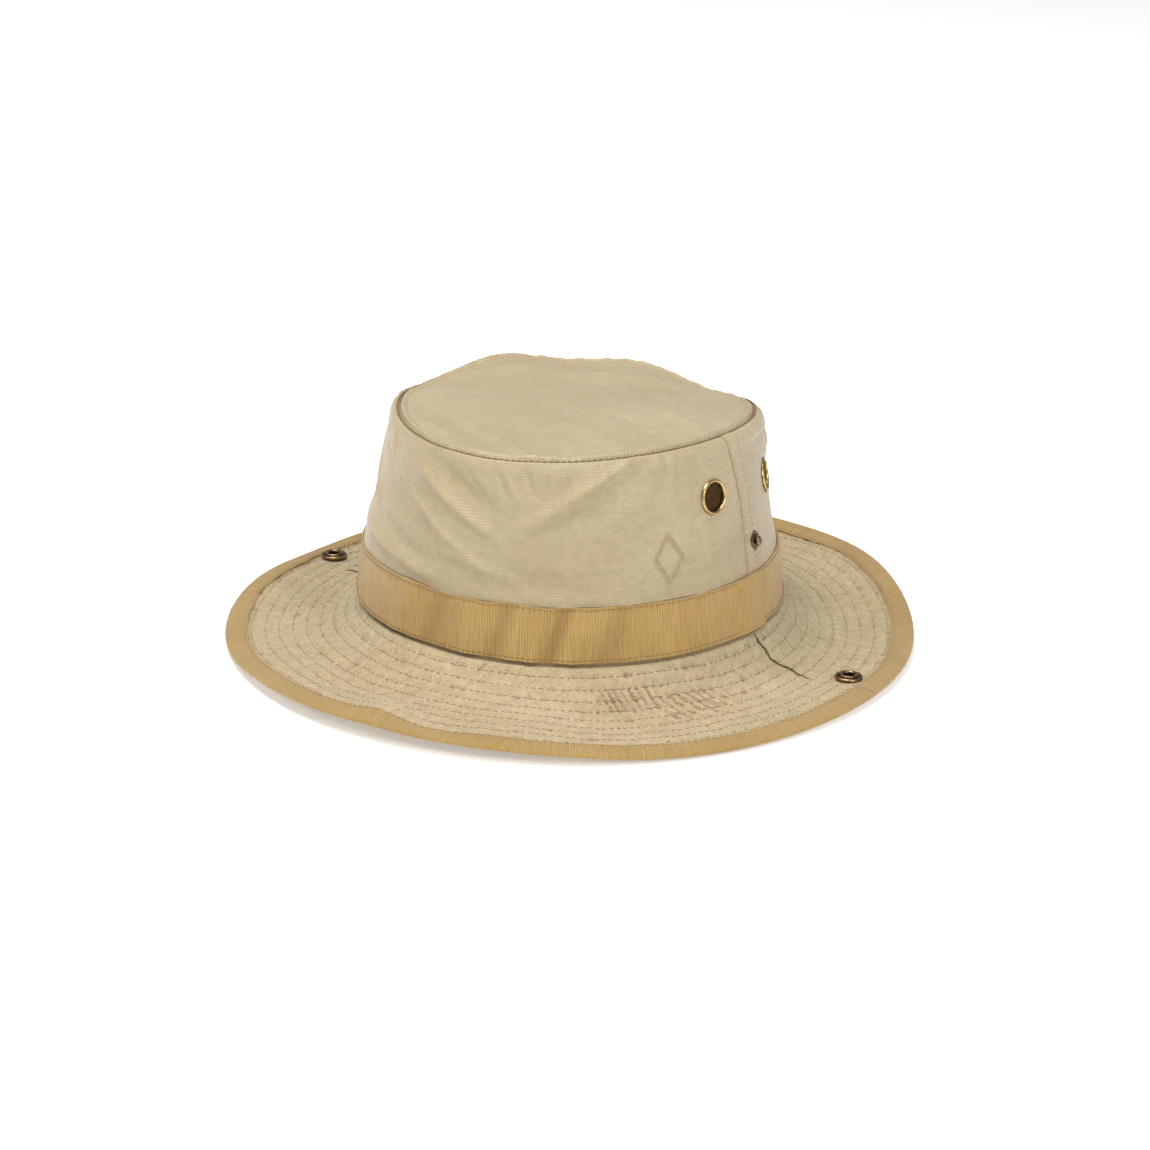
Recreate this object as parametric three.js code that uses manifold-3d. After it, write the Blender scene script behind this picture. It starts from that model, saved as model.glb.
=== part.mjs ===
// Boonie hat with snap-up brim sides, built from its sewn cloth pieces and its metal trim.
// Millimetres, +Z up. The origin is on the ground under the middle of the crown.
// The front of the hat is -Y and the wearer's left is +X.
import * as THREE from "three";
import { mergeVertices } from "three/addons/utils/BufferGeometryUtils.js";
import ManifoldModule from "manifold-3d";

const wasm = await ManifoldModule();
wasm.setup();

// ---- Driving dimensions ----

const gap = 0.3; // clearance between pieces that touch on the real hat
const steps = 40; // facets round the head
const degree = Math.PI / 180;

// The oval where the brim leaves the crown, over the hat band.
const rootHalfWidth = 92;
const rootHalfLength = 96;
const rootHeight = 20.3; // above the ground

// Crown: the wall leans in to a shoulder, which rounds over to the tip's seam.
const shoulderHalfWidth = 79.5;
const shoulderHalfLength = 89.5;
const seamHalfWidth = 74.6;
const seamHalfLength = 86.3;
const crownHeight = 84.8; // brim root to tip seam, mean
const shoulderDrop = 7.5; // seam to shoulder
const sideRise = 2.5; // the seam is higher at the sides than at the front and rear
const rearDrop = 3.7; // and lower at the rear than at the front
const tipDome = 1.5;
const wallBulge = 1.0;
const wallThickness = 0.8;

// Brim: the width is measured along the cloth, and the slopes are in degrees above level.
const brimWidth = 66.5;
const rootSlope = { mean: -57, side: -13 };
const middleSlope = { mean: -6.2, side: 0.5, rear: -1, quarter: 2 };
const edgeSlope = { mean: 5.7, side: -9.2, rear: 14 };
const brimCloth = 0.6;
const interlining = 0.8;
const bindingCover = 10; // how far the binding reaches over the brim
const bindingTape = 0.6;

// Brim sides that fold up about a line parallel to Y and snap to the crown.
const foldX = 105; // inner edge of a flap, away from the crown
const foldLedge = 24; // next to the crown, the flap starts this far from the root
const hingeX = 89.4;
const hingeZ = -7.9; // from the brim root
const snapAngle = 98.5 * degree;

// Trim
const hatBandHeight = 25;
const hatBandThickness = 0.8;
const sweatbandHeight = 28;
const sweatbandThickness = 1.0;
const trimY = 8; // the side snaps and vents are centred here
const socketX = 135;
const ventSpread = 28; // from trimY, to the front and to the rear
const ventHeight = { front: 64, rear: 58 }; // above the brim root
const eyelet = { flange: 7.8, barrel: 6.9, bore: 6.2, height: 1.1 };
const washer = { outer: 7.9, thickness: 0.5 };
const screen = { radius: 5.9, thickness: 0.5 };
const stud = { flange: 4.5, base: 1.0, neck: 1.55, ball: 2.2, height: 3.1 };
const studPost = { cap: 4.6, thickness: 0.9, shank: 1.4 };
const socket = { outer: 6.1, hole: 2.65, height: 2.2 };
const socketCap = { cap: 6.3, thickness: 1.0, shank: 1.7 };

// ---- Materials ----

const material = (color, roughness, metalness) =>
  new THREE.MeshStandardMaterial({ color, roughness, metalness });
const shellCloth = material(0xcaba9a, 0.5, 0);
const liningCloth = material(0xb5a684, 0.8, 0);
const grosgrain = material(0xbd9a64, 0.7, 0);
const sweatbandCloth = material(0x8f8468, 0.9, 0);
const labelCloth = material(0x3a3a34, 0.8, 0);
const brass = material(0x8a6a3a, 0.4, 1);
const darkMesh = material(0x3b2f22, 0.6, 0.8);

// ---- Solids ----

const hat = new THREE.Group();

function addPiece(name, geometry, pieceMaterial) {
  const mesh = new THREE.Mesh(geometry, pieceMaterial);
  mesh.name = name;
  hat.add(mesh);
  return mesh;
}

function signedVolume(points, triangles) {
  let volume = 0;
  for (let i = 0; i < triangles.length; i += 3) {
    const [a, b, c] = [points[triangles[i]], points[triangles[i + 1]], points[triangles[i + 2]]];
    volume += a.dot(new THREE.Vector3().crossVectors(b, c)) / 6;
  }
  return volume;
}

function solidGeometry(points, triangles) {
  if (signedVolume(points, triangles) < 0) {
    triangles.reverse();
  }
  const geometry = new THREE.BufferGeometry();
  geometry.setFromPoints(points);
  geometry.setIndex(triangles);
  geometry.computeVertexNormals();
  return geometry;
}

// A ring round the head: section(theta) is a closed loop of points, the same number at each step.
function ringSolid(section) {
  const points = [];
  const triangles = [];
  let size = 0;
  for (let i = 0; i < steps; i += 1) {
    const loop = section((2 * Math.PI * i) / steps);
    size = loop.length;
    points.push(...loop);
  }
  for (let i = 0; i < steps; i += 1) {
    const here = i * size;
    const next = ((i + 1) % steps) * size;
    for (let j = 0; j < size; j += 1) {
      const k = (j + 1) % size;
      triangles.push(here + j, next + j, next + k, here + j, next + k, here + k);
    }
  }
  return solidGeometry(points, triangles);
}

// A dished plate: surface(theta, reach, depth) is a point, with reach from 0 in the middle to 1.
function plateSolid(surface, reaches, thickness) {
  const points = [surface(0, 0, 0)];
  const triangles = [];
  const rings = [];
  for (const depth of [0, thickness]) {
    const inwards = depth === 0 ? reaches : [...reaches].reverse();
    for (const reach of inwards) {
      rings.push(points.length);
      for (let i = 0; i < steps; i += 1) {
        points.push(surface((2 * Math.PI * i) / steps, reach, depth));
      }
    }
  }
  const bottom = points.length;
  points.push(surface(0, 0, thickness));
  const last = rings[rings.length - 1];
  for (let i = 0; i < steps; i += 1) {
    const k = (i + 1) % steps;
    triangles.push(0, rings[0] + i, rings[0] + k);
    for (let r = 1; r < rings.length; r += 1) {
      const [a, b] = [rings[r - 1], rings[r]];
      triangles.push(a + i, b + i, b + k, a + i, b + k, a + k);
    }
    triangles.push(bottom, last + k, last + i);
  }
  return solidGeometry(points, triangles);
}

// A turned piece on the Z axis: the profile is a closed loop of [radius, height], or starts and
// ends on the axis.
function turned(profile, around) {
  const points = profile.map(([radius, height]) => new THREE.Vector2(radius, height));
  if (profile[0][0] > 0) {
    points.push(points[0].clone());
  }
  const geometry = new THREE.LatheGeometry(points, around);
  geometry.rotateX(Math.PI / 2);
  return asGeometry(asSolid(geometry));
}

function asSolid(geometry) {
  const bare = geometry.clone();
  bare.deleteAttribute("normal");
  bare.deleteAttribute("uv");
  const merged = mergeVertices(bare, 1e-4);
  const index = merged.index.array;
  const triVerts = [];
  for (let i = 0; i < index.length; i += 3) {
    const [a, b, c] = [index[i], index[i + 1], index[i + 2]];
    if (a !== b && b !== c && c !== a) {
      triVerts.push(a, b, c);
    }
  }
  const points = [];
  const position = merged.getAttribute("position");
  for (let i = 0; i < position.count; i += 1) {
    points.push(new THREE.Vector3().fromBufferAttribute(position, i));
  }
  if (signedVolume(points, triVerts) < 0) {
    triVerts.reverse();
  }
  return new wasm.Manifold(
    new wasm.Mesh({
      numProp: 3,
      vertProperties: new Float32Array(position.array),
      triVerts: new Uint32Array(triVerts),
    }),
  );
}

function asGeometry(solid) {
  const { vertProperties, triVerts } = solid.getMesh();
  const geometry = new THREE.BufferGeometry();
  geometry.setAttribute("position", new THREE.BufferAttribute(vertProperties, 3));
  geometry.setIndex(new THREE.BufferAttribute(triVerts, 1));
  geometry.computeVertexNormals();
  return geometry;
}

function boxSolid(low, high) {
  const size = new THREE.Vector3().subVectors(high, low);
  const geometry = new THREE.BoxGeometry(size.x, size.y, size.z);
  geometry.translate((low.x + high.x) / 2, (low.y + high.y) / 2, (low.z + high.z) / 2);
  return asSolid(geometry);
}

// Beyond the hat in every direction.
const far = 250;

function halfSpace(axis, from) {
  const low = new THREE.Vector3(-far, -far, -far);
  const high = new THREE.Vector3(far, far, far);
  if (from.side > 0) {
    low[axis] = from.at;
  } else {
    high[axis] = from.at;
  }
  return boxSolid(low, high);
}

function drill(radius, frame) {
  const geometry = new THREE.CylinderGeometry(radius, radius, 24, 20);
  geometry.rotateX(Math.PI / 2);
  geometry.applyMatrix4(frame);
  return asSolid(geometry);
}

// ---- The crown's surface ----

function seamHeight(theta) {
  return crownHeight + sideRise * Math.cos(2 * theta) - rearDrop * Math.sin(theta);
}

// The outer face of the wall. rise runs from 0 at the root to 1 at the shoulder, and on to 2 at
// the tip's seam. inset is the depth below the face.
function wallPoint(theta, rise, inset) {
  const shoulder = seamHeight(theta) - shoulderDrop;
  const climb = Math.min(rise, 1);
  const turn = Math.max(rise - 1, 0) * 90 * degree;
  const bandDepth = hatBandThickness + gap;
  const swell = 4 * wallBulge * climb * (1 - climb);
  const round = 1 - Math.cos(turn);
  const mix = (root, end, seam) =>
    root + (end - root) * climb + swell - (end - seam) * round;
  const halfWidth = mix(rootHalfWidth - bandDepth, shoulderHalfWidth, seamHalfWidth);
  const halfLength = mix(rootHalfLength - bandDepth, shoulderHalfLength, seamHalfLength);
  return new THREE.Vector3(
    (halfWidth - inset * Math.cos(turn)) * Math.cos(theta),
    (halfLength - inset * Math.cos(turn)) * Math.sin(theta),
    rootHeight + shoulder * climb + (shoulderDrop - inset) * Math.sin(turn),
  );
}

function wallRise(theta, height) {
  return height / (seamHeight(theta) - shoulderDrop);
}

// A frame on the wall at side * X, with its Z axis along the outward normal.
function wallFrame(side, y, height) {
  let theta = 0;
  for (let pass = 0; pass < 8; pass += 1) {
    const here = wallPoint(theta, wallRise(theta, height), 0);
    theta += (y - here.y) / rootHalfLength;
  }
  const nudge = 0.01;
  const rise = wallRise(theta, height);
  const at = wallPoint(theta, rise, 0);
  const along = wallPoint(theta + nudge, rise, 0).sub(at);
  const up = wallPoint(theta, rise + nudge, 0).sub(at);
  const normal = new THREE.Vector3().crossVectors(along, up).normalize();
  return facing(side, at, normal);
}

// A frame at a point on the +X side, or at its mirror image, with its Z axis along a direction.
function facing(side, at, direction) {
  const out = direction.clone().multiply(new THREE.Vector3(side, 1, 1)).normalize();
  const turn = new THREE.Quaternion().setFromUnitVectors(new THREE.Vector3(0, 0, 1), out);
  const place = at.clone().multiply(new THREE.Vector3(side, 1, 1));
  return new THREE.Matrix4().compose(place, turn, new THREE.Vector3(1, 1, 1));
}

// ---- The brim's surface ----

function brimSlope(theta, part) {
  const start = rootSlope.mean + rootSlope.side * Math.cos(2 * theta);
  const middle =
    middleSlope.mean +
    middleSlope.side * Math.cos(2 * theta) +
    middleSlope.rear * Math.sin(theta) +
    middleSlope.quarter * Math.cos(4 * theta);
  const end = edgeSlope.mean + edgeSlope.side * Math.cos(2 * theta) + edgeSlope.rear * Math.sin(theta);
  const [a, b, c] = [
    2 * (part - 0.5) * (part - 1),
    4 * part * (1 - part),
    2 * part * (part - 0.5),
  ];
  return (start * a + middle * b + end * c) * degree;
}

// The brim's upper face, run out from the root along the cloth. lift is the height above it.
function brimPoint(theta, run, lift) {
  const pieces = 24;
  let reach = 0;
  let drop = 0;
  for (let i = 0; i < pieces; i += 1) {
    const slope = brimSlope(theta, ((i + 0.5) / pieces) * (run / brimWidth));
    reach += (Math.cos(slope) * run) / pieces;
    drop += (Math.sin(slope) * run) / pieces;
  }
  const slope = brimSlope(theta, run / brimWidth);
  reach -= Math.sin(slope) * lift;
  drop += Math.cos(slope) * lift;
  const out = new THREE.Vector2(Math.cos(theta) / rootHalfWidth, Math.sin(theta) / rootHalfLength);
  out.normalize();
  return new THREE.Vector3(
    rootHalfWidth * Math.cos(theta) + out.x * reach,
    rootHalfLength * Math.sin(theta) + out.y * reach,
    rootHeight + drop,
  );
}

// A thin layer between two depths of a surface, as a loop of points at one theta.
function layerSection(surface, stops, top, bottom) {
  const upper = stops.map((stop) => surface(stop, top));
  const lower = stops.map((stop) => surface(stop, bottom));
  return [...upper, ...lower.reverse()];
}

// ---- Crown ----

const wallStops = [0.005, 0.25, 0.5, 0.75, 1, 1.3, 1.65, 2];
const seamY = trimY;
const sides = [
  { name: "left", sign: 1 },
  { name: "right", sign: -1 },
];
const vents = [];
for (const side of sides) {
  for (const end of ["front", "rear"]) {
    const y = trimY + (end === "front" ? -ventSpread : ventSpread);
    const frame = wallFrame(side.sign, y, ventHeight[end]);
    vents.push({ name: `vent_${side.name}_${end}`, frame });
  }
}

// The socket sits flat on the brim. Turning it about the hinge by the snap angle lands it on the
// stud, so the stud's place and tilt follow from the hinge.
const hinge = new THREE.Vector3(hingeX, trimY, rootHeight + hingeZ);

function foldedUp(point) {
  return point
    .clone()
    .sub(hinge)
    .applyAxisAngle(new THREE.Vector3(0, -1, 0), snapAngle)
    .add(hinge);
}

function brimTopAt(x, y) {
  let theta = y / x;
  let run = x - rootHalfWidth;
  for (let pass = 0; pass < 20; pass += 1) {
    const here = brimPoint(theta, run, 0);
    theta += (y - here.y) / x;
    run += x - here.x;
  }
  return brimPoint(theta, run, 0);
}

const socketSeat = brimTopAt(socketX, trimY).add(new THREE.Vector3(0, 0, 2 * gap));
const socketFace = socketSeat.clone().add(new THREE.Vector3(0, 0, socket.height + gap));
const studFace = foldedUp(socketFace);
const studAxis = new THREE.Vector3(Math.sin(snapAngle), 0, -Math.cos(snapAngle));
const studSeat = studFace.clone().addScaledVector(studAxis, -stud.base);

const wallRing = asSolid(
  ringSolid((theta) =>
    layerSection((stop, inset) => wallPoint(theta, stop, inset), wallStops, 0, wallThickness),
  ),
);
let wall = wallRing;
for (const vent of vents) {
  wall = wall.subtract(drill(eyelet.barrel + gap, vent.frame));
}
for (const side of sides) {
  wall = wall.subtract(drill(studPost.shank + gap, facing(side.sign, studSeat, studAxis)));
}
const wallFront = wall.intersect(halfSpace("y", { at: seamY - gap / 2, side: -1 }));
const wallRear = wall.intersect(halfSpace("y", { at: seamY + gap / 2, side: 1 }));
addPiece("crown_wall_front", asGeometry(wallFront), shellCloth);
addPiece("crown_wall_rear", asGeometry(wallRear), shellCloth);

function tipPoint(theta, reach, depth) {
  const rise = sideRise * reach * reach * Math.cos(2 * theta) - rearDrop * reach * Math.sin(theta);
  return new THREE.Vector3(
    (seamHalfWidth - gap) * reach * Math.cos(theta),
    (seamHalfLength - gap) * reach * Math.sin(theta),
    rootHeight + crownHeight + rise + tipDome * (1 - reach * reach) - depth,
  );
}
addPiece("crown_tip", plateSolid(tipPoint, [0.4, 0.75, 1], wallThickness), shellCloth);

// ---- Hat band and sweatband ----

const bandStops = [0.005, 0.5 * wallRise(0, hatBandHeight), wallRise(0, hatBandHeight)];
addPiece(
  "hat_band",
  ringSolid((theta) =>
    layerSection(
      (stop, lift) => wallPoint(theta, stop, -lift),
      bandStops,
      gap + hatBandThickness,
      gap,
    ),
  ),
  grosgrain,
);

// The sweatband's foot, middle and top, as shares of the wall's height.
const sweatFoot = 0.005;
const sweatMiddle = 0.18;
const sweatStops = [sweatFoot, sweatMiddle, wallRise(0, sweatbandHeight)];
const sweatOuter = wallThickness + gap;
addPiece(
  "sweatband",
  ringSolid((theta) =>
    layerSection(
      (stop, inset) => wallPoint(theta, stop, inset),
      sweatStops,
      sweatOuter,
      sweatOuter + sweatbandThickness,
    ),
  ),
  sweatbandCloth,
);

// A blank size label, sewn to the sweatband at the rear.
const label = { width: 22, height: 14, thickness: 0.4 };
const labelGeometry = new THREE.BoxGeometry(label.width, label.thickness, label.height);
const labelPiece = addPiece("size_label", labelGeometry, labelCloth);
const labelRise = 0.17;
// The flat label stands this far in from the curved sweatband, so that its ends clear it.
const labelStand = 1.5;
const labelBack = wallPoint(Math.PI / 2, labelRise, sweatOuter + sweatbandThickness);
labelPiece.position.set(0, labelBack.y - labelStand, labelBack.z);

// ---- Brim ----

// The part of the brim that folds up on one side, grown by a clearance.
function flapRegion(sign, clearance) {
  const low = new THREE.Vector3(foldX - clearance, -far, -far);
  const high = new THREE.Vector3(far, far, far);
  if (sign < 0) {
    [low.x, high.x] = [-high.x, -low.x];
  }
  const ledge = new THREE.CylinderGeometry(1, 1, 2 * far, steps);
  ledge.rotateX(Math.PI / 2);
  ledge.scale(
    rootHalfWidth + foldLedge - clearance,
    rootHalfLength + foldLedge - clearance,
    1,
  );
  return boxSolid(low, high).subtract(asSolid(ledge));
}

const flapsOut = flapRegion(1, gap / 2).add(flapRegion(-1, gap / 2));

// Cuts a ring of brim material into its two fixed halves and its two flaps.
function addBrimPieces(name, ring, pieceMaterial, hole) {
  const fixed = ring.subtract(flapsOut);
  const front = fixed.intersect(halfSpace("y", { at: -gap / 2, side: -1 }));
  const rear = fixed.intersect(halfSpace("y", { at: gap / 2, side: 1 }));
  addPiece(`${name}_front`, asGeometry(front), pieceMaterial);
  addPiece(`${name}_rear`, asGeometry(rear), pieceMaterial);
  for (const side of sides) {
    let flap = ring.intersect(flapRegion(side.sign, -gap / 2));
    if (hole) {
      const up = new THREE.Vector3(0, 0, 1);
      flap = flap.subtract(drill(hole, facing(side.sign, socketSeat, up)));
    }
    addPiece(`${name}_${side.name}_flap`, asGeometry(flap), pieceMaterial);
  }
}

const clothEnd = brimWidth - bindingTape - gap;
const brimStops = [0.8, 8, 18, 32, 46, brimWidth - bindingCover, clothEnd];
const layers = [];
let layerTop = 0;
for (const [name, thickness, cloth] of [
  ["brim_upper", brimCloth, shellCloth],
  ["brim_interlining", interlining, liningCloth],
  ["brim_under", brimCloth, shellCloth],
]) {
  layers.push({ name, cloth, top: layerTop, bottom: layerTop - thickness });
  layerTop -= thickness + gap;
}
for (const layer of layers) {
  const ring = ringSolid((theta) =>
    layerSection(
      (stop, lift) => brimPoint(theta, stop, lift),
      brimStops,
      layer.top,
      layer.bottom,
    ),
  );
  addBrimPieces(layer.name, asSolid(ring), layer.cloth, socketCap.shank + gap);
}

// The binding is a tape folded round the brim's edge.
const stackBottom = layers[layers.length - 1].bottom;
const innerFaces = [gap, stackBottom - gap];
const outerFaces = [innerFaces[0] + bindingTape, innerFaces[1] - bindingTape];
const bindingCorner = 0.8;
const bindingOutline = [
  [brimWidth - bindingCover, outerFaces[0]],
  [brimWidth - bindingCorner, outerFaces[0]],
  [brimWidth, outerFaces[0] - bindingCorner],
  [brimWidth, outerFaces[1] + bindingCorner],
  [brimWidth - bindingCorner, outerFaces[1]],
  [brimWidth - bindingCover, outerFaces[1]],
  [brimWidth - bindingCover, innerFaces[1]],
  [brimWidth - bindingTape, innerFaces[1]],
  [brimWidth - bindingTape, innerFaces[0]],
  [brimWidth - bindingCover, innerFaces[0]],
];
const bindingRing = ringSolid((theta) =>
  bindingOutline.map(([run, lift]) => brimPoint(theta, run, lift)),
);
addBrimPieces("brim_binding", asSolid(bindingRing), grosgrain, 0);

// ---- Vents: an eyelet pressed through the wall, with a washer inside and a screen in its bore ----

const eyeletStand = gap + 0.1;
// The flat washer stays clear of the curved wall, and the barrel is curled over behind it.
const washerClearance = 0.45;
const barrelCurl = 0.2;
const washerTop = -wallThickness - gap - washerClearance;
const eyeletProfile = [
  [eyelet.bore, washerTop - washer.thickness - barrelCurl],
  [eyelet.barrel, washerTop - washer.thickness - barrelCurl],
  [eyelet.barrel, eyeletStand],
  [eyelet.flange - 0.2, eyeletStand],
  [eyelet.flange, eyeletStand + 0.4 * eyelet.height],
  [eyelet.flange - 0.5, eyeletStand + eyelet.height],
  [eyelet.bore + 0.3, eyeletStand + eyelet.height],
  [eyelet.bore, eyeletStand + 0.6 * eyelet.height],
];
const washerProfile = [
  [eyelet.barrel + gap, washerTop - washer.thickness],
  [washer.outer, washerTop - washer.thickness],
  [washer.outer, washerTop],
  [eyelet.barrel + gap, washerTop],
];
const screenProfile = [
  [0, -screen.thickness],
  [screen.radius, -screen.thickness],
  [screen.radius, 0],
  [0, 0],
];

function addTurned(name, profile, around, pieceMaterial, frame) {
  const piece = addPiece(name, turned(profile, around), pieceMaterial);
  piece.applyMatrix4(frame);
}

for (const vent of vents) {
  addTurned(`${vent.name}_eyelet`, eyeletProfile, 20, brass, vent.frame);
  addTurned(`${vent.name}_washer`, washerProfile, 20, brass, vent.frame);
  addTurned(`${vent.name}_screen`, screenProfile, 20, darkMesh, vent.frame);
}

// ---- Snaps: a stud on each side of the crown and a socket on each side of the brim ----

// The widest part of the stud's ball lies about half its radius below the top.
const ballHeight = stud.height - stud.ball * 0.55;
const studProfile = [
  [0, 0],
  [stud.flange, 0],
  [stud.flange, 0.5 * stud.base],
  [stud.flange - 0.6, stud.base],
  [stud.neck, stud.base],
  [stud.neck, ballHeight - 0.7],
  [stud.ball, ballHeight],
  [stud.ball * 0.8, stud.height - 0.25],
  [stud.ball * 0.4, stud.height],
  [0, stud.height],
];
const postFace = -wallThickness - 4.5 * gap;
const studPostProfile = [
  [0, postFace - studPost.thickness],
  [studPost.cap, postFace - 0.6 * studPost.thickness],
  [studPost.cap, postFace],
  [studPost.shank, postFace],
  [studPost.shank, -gap],
  [0, -gap],
];
const socketWall = 1.2;
const socketProfile = [
  [0, 0],
  [socket.outer - 0.4, 0],
  [socket.outer, 0.4],
  [socket.outer, 0.45 * socket.height],
  [socket.outer - 1.5, 0.6 * socket.height],
  [socket.hole + socketWall, socket.height],
  [socket.hole, socket.height],
  [socket.hole, 0.15],
  [0, 0.15],
];
const capFace = stackBottom - 4 * gap;
const socketCapProfile = [
  [0, capFace - socketCap.thickness],
  [0.7 * socketCap.cap, capFace - socketCap.thickness],
  [socketCap.cap, capFace - 0.4 * socketCap.thickness],
  [socketCap.cap, capFace],
  [socketCap.shank, capFace],
  [socketCap.shank, -gap],
  [0, -gap],
];
const upright = new THREE.Vector3(0, 0, 1);
for (const side of sides) {
  const studFrame = facing(side.sign, studSeat, studAxis);
  const socketFrame = facing(side.sign, socketSeat, upright);
  addTurned(`crown_snap_${side.name}_stud`, studProfile, 20, brass, studFrame);
  addTurned(`crown_snap_${side.name}_post`, studPostProfile, 20, brass, studFrame);
  addTurned(`brim_snap_${side.name}_socket`, socketProfile, 20, brass, socketFrame);
  addTurned(`brim_snap_${side.name}_cap`, socketCapProfile, 20, brass, socketFrame);
}

export default hat;
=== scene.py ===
"""Boonie hat with snap-up brim sides: the looks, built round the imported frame.

Shapes are worked out in millimetres from the brim root (the foot of the crown) and are
scaled and raised into the shared frame when a mesh is made. Front is -Y, the wearer's left +X.
Angles round the head are measured from +X towards the rear (+Y)."""

import math

import bpy
import numpy as np
from mathutils import Matrix, Vector


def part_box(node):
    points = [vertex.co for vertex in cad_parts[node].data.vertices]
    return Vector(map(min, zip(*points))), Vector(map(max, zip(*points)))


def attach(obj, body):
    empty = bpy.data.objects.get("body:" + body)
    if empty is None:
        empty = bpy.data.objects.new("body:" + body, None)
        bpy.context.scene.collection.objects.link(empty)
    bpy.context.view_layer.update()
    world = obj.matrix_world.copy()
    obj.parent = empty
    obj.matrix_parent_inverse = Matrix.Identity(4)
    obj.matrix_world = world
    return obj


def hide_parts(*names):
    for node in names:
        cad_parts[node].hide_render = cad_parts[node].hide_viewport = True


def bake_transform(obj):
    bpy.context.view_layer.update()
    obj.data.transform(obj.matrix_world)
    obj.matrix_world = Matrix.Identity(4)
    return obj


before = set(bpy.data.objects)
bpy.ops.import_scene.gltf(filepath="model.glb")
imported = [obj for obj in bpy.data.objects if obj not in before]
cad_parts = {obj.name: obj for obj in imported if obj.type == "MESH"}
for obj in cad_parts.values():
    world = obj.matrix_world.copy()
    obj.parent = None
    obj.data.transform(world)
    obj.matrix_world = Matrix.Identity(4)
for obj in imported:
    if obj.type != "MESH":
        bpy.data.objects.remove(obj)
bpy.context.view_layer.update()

MM = 0.001
TAU = 2 * math.pi
BODY, LEFT, RIGHT = "hat_body", "left_brim_side", "right_brim_side"
SIDES = (("left", 1), ("right", -1))

# ---------------------------------------------------------------- driving sizes, as in the CAD

ROOT_HALF_WIDTH, ROOT_HALF_LENGTH, ROOT_HEIGHT = 92.0, 96.0, 20.3
SHOULDER_HALF_WIDTH, SHOULDER_HALF_LENGTH = 79.5, 89.5
SEAM_HALF_WIDTH, SEAM_HALF_LENGTH = 74.6, 86.3
CROWN_HEIGHT, SHOULDER_DROP = 84.8, 7.5
SIDE_RISE, REAR_DROP, TIP_DOME = 2.5, 3.7, 1.5
WALL_INSET, WALL_BULGE, CLOTH = 1.1, 1.0, 0.5
WALL_HEIGHT = CROWN_HEIGHT - SHOULDER_DROP
BRIM_WIDTH, BINDING_COVER = 66.5, 9.6
BAND_HEIGHT = 25.0
TRIM_Y = 8.0


# ---------------------------------------------------------------- numbers


def smooth(low, high, value):
    """0 at low and beyond it, 1 at high and beyond it, with soft ends."""
    t = np.clip((value - low) / (high - low), 0.0, 1.0)
    return t * t * (3 - 2 * t)


def bell(value, width):
    return np.exp(-((value / width) ** 2))


def turn_between(angle, centre):
    """Signed angle in degrees from centre, wrapped to -180..180."""
    return (angle - centre + 180.0) % 360.0 - 180.0


def sector(degrees, centre, width):
    """A bell of an angle round the head, all in degrees."""
    return bell(turn_between(degrees, centre), width)


def between(table, columns, rows, along, across):
    """Values between four cells: pairs of columns and rows, and the shares of the way."""
    (x0, x1), (y0, y1) = columns, rows
    low = table[x0, y0] * (1 - along) + table[x1, y0] * along
    high = table[x0, y1] * (1 - along) + table[x1, y1] * along
    return low * (1 - across) + high * across


def wave_noise(u, v, seed, cells_u, cells_v, period_u, period_v):
    """Smooth value noise from -1 to 1, repeating every period in u and v."""
    table = np.random.default_rng(seed).uniform(-1, 1, (cells_u, cells_v))
    x = (np.asarray(u) / period_u % 1.0) * cells_u
    y = (np.asarray(v) / period_v % 1.0) * cells_v
    x0, y0 = np.floor(x).astype(int), np.floor(y).astype(int)
    fx, fy = x - x0, y - y0
    fx, fy = fx * fx * (3 - 2 * fx), fy * fy * (3 - 2 * fy)
    x0, y0 = x0 % cells_u, y0 % cells_v
    x1, y1 = (x0 + 1) % cells_u, (y0 + 1) % cells_v
    return between(table, (x0, x1), (y0, y1), fx, fy)


def round_noise(theta, v, seed, around, along, period=1.0):
    """The noise over angles round the head and another measure, with its period."""
    return wave_noise(theta / TAU, v, seed, around, along, 1.0, period)


def points_at(*parts):
    """A grid of points from its coordinates, each a grid, a row, a column or one number."""
    return np.stack(np.broadcast_arrays(*parts), -1)


def ridge(u, v, start, end, width, height):
    """A long soft fold between two points of a developed cloth, in millimetres."""
    a, b = np.array(start, float), np.array(end, float)
    length = np.linalg.norm(b - a)
    along = ((u - a[0]) * (b[0] - a[0]) + (v - a[1]) * (b[1] - a[1])) / length
    across = ((v - a[1]) * (b[0] - a[0]) - (u - a[0]) * (b[1] - a[1])) / length
    ends = smooth(-0.25 * length, 0.25 * length, along)
    ends = ends * (1 - smooth(0.75 * length, 1.25 * length, along))
    return height * ends * bell(across, width)


# ---------------------------------------------------------------- crown surface


TIP_CORNERS = (
    # angle, rise at the rim, half width in degrees
    (70.0, -3.6, 17.0),
    (106.0, 3.4, 15.0),
    (150.0, 3.4, 13.0),
    (184.0, -3.2, 17.0),
)


def rim_lift(theta):
    """The soft tip stands up in corners at the rear and sags between them."""
    degrees = np.degrees(theta)
    lift = np.zeros_like(degrees)
    for centre, rise, width in TIP_CORNERS:
        lift = lift + rise * sector(degrees, centre, width)
    return lift


def seam_height(theta):
    return CROWN_HEIGHT + SIDE_RISE * np.cos(2 * theta) - REAR_DROP * np.sin(theta)


CROWN_SWELLS = (
    # angle, half width in degrees, size, then where it starts to fade and has faded, as rise
    (-146.0, 34.0, 3.4, 0.35, 0.85),
    (34.0, 24.0, 1.6, 0.15, 0.5),
)


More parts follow.
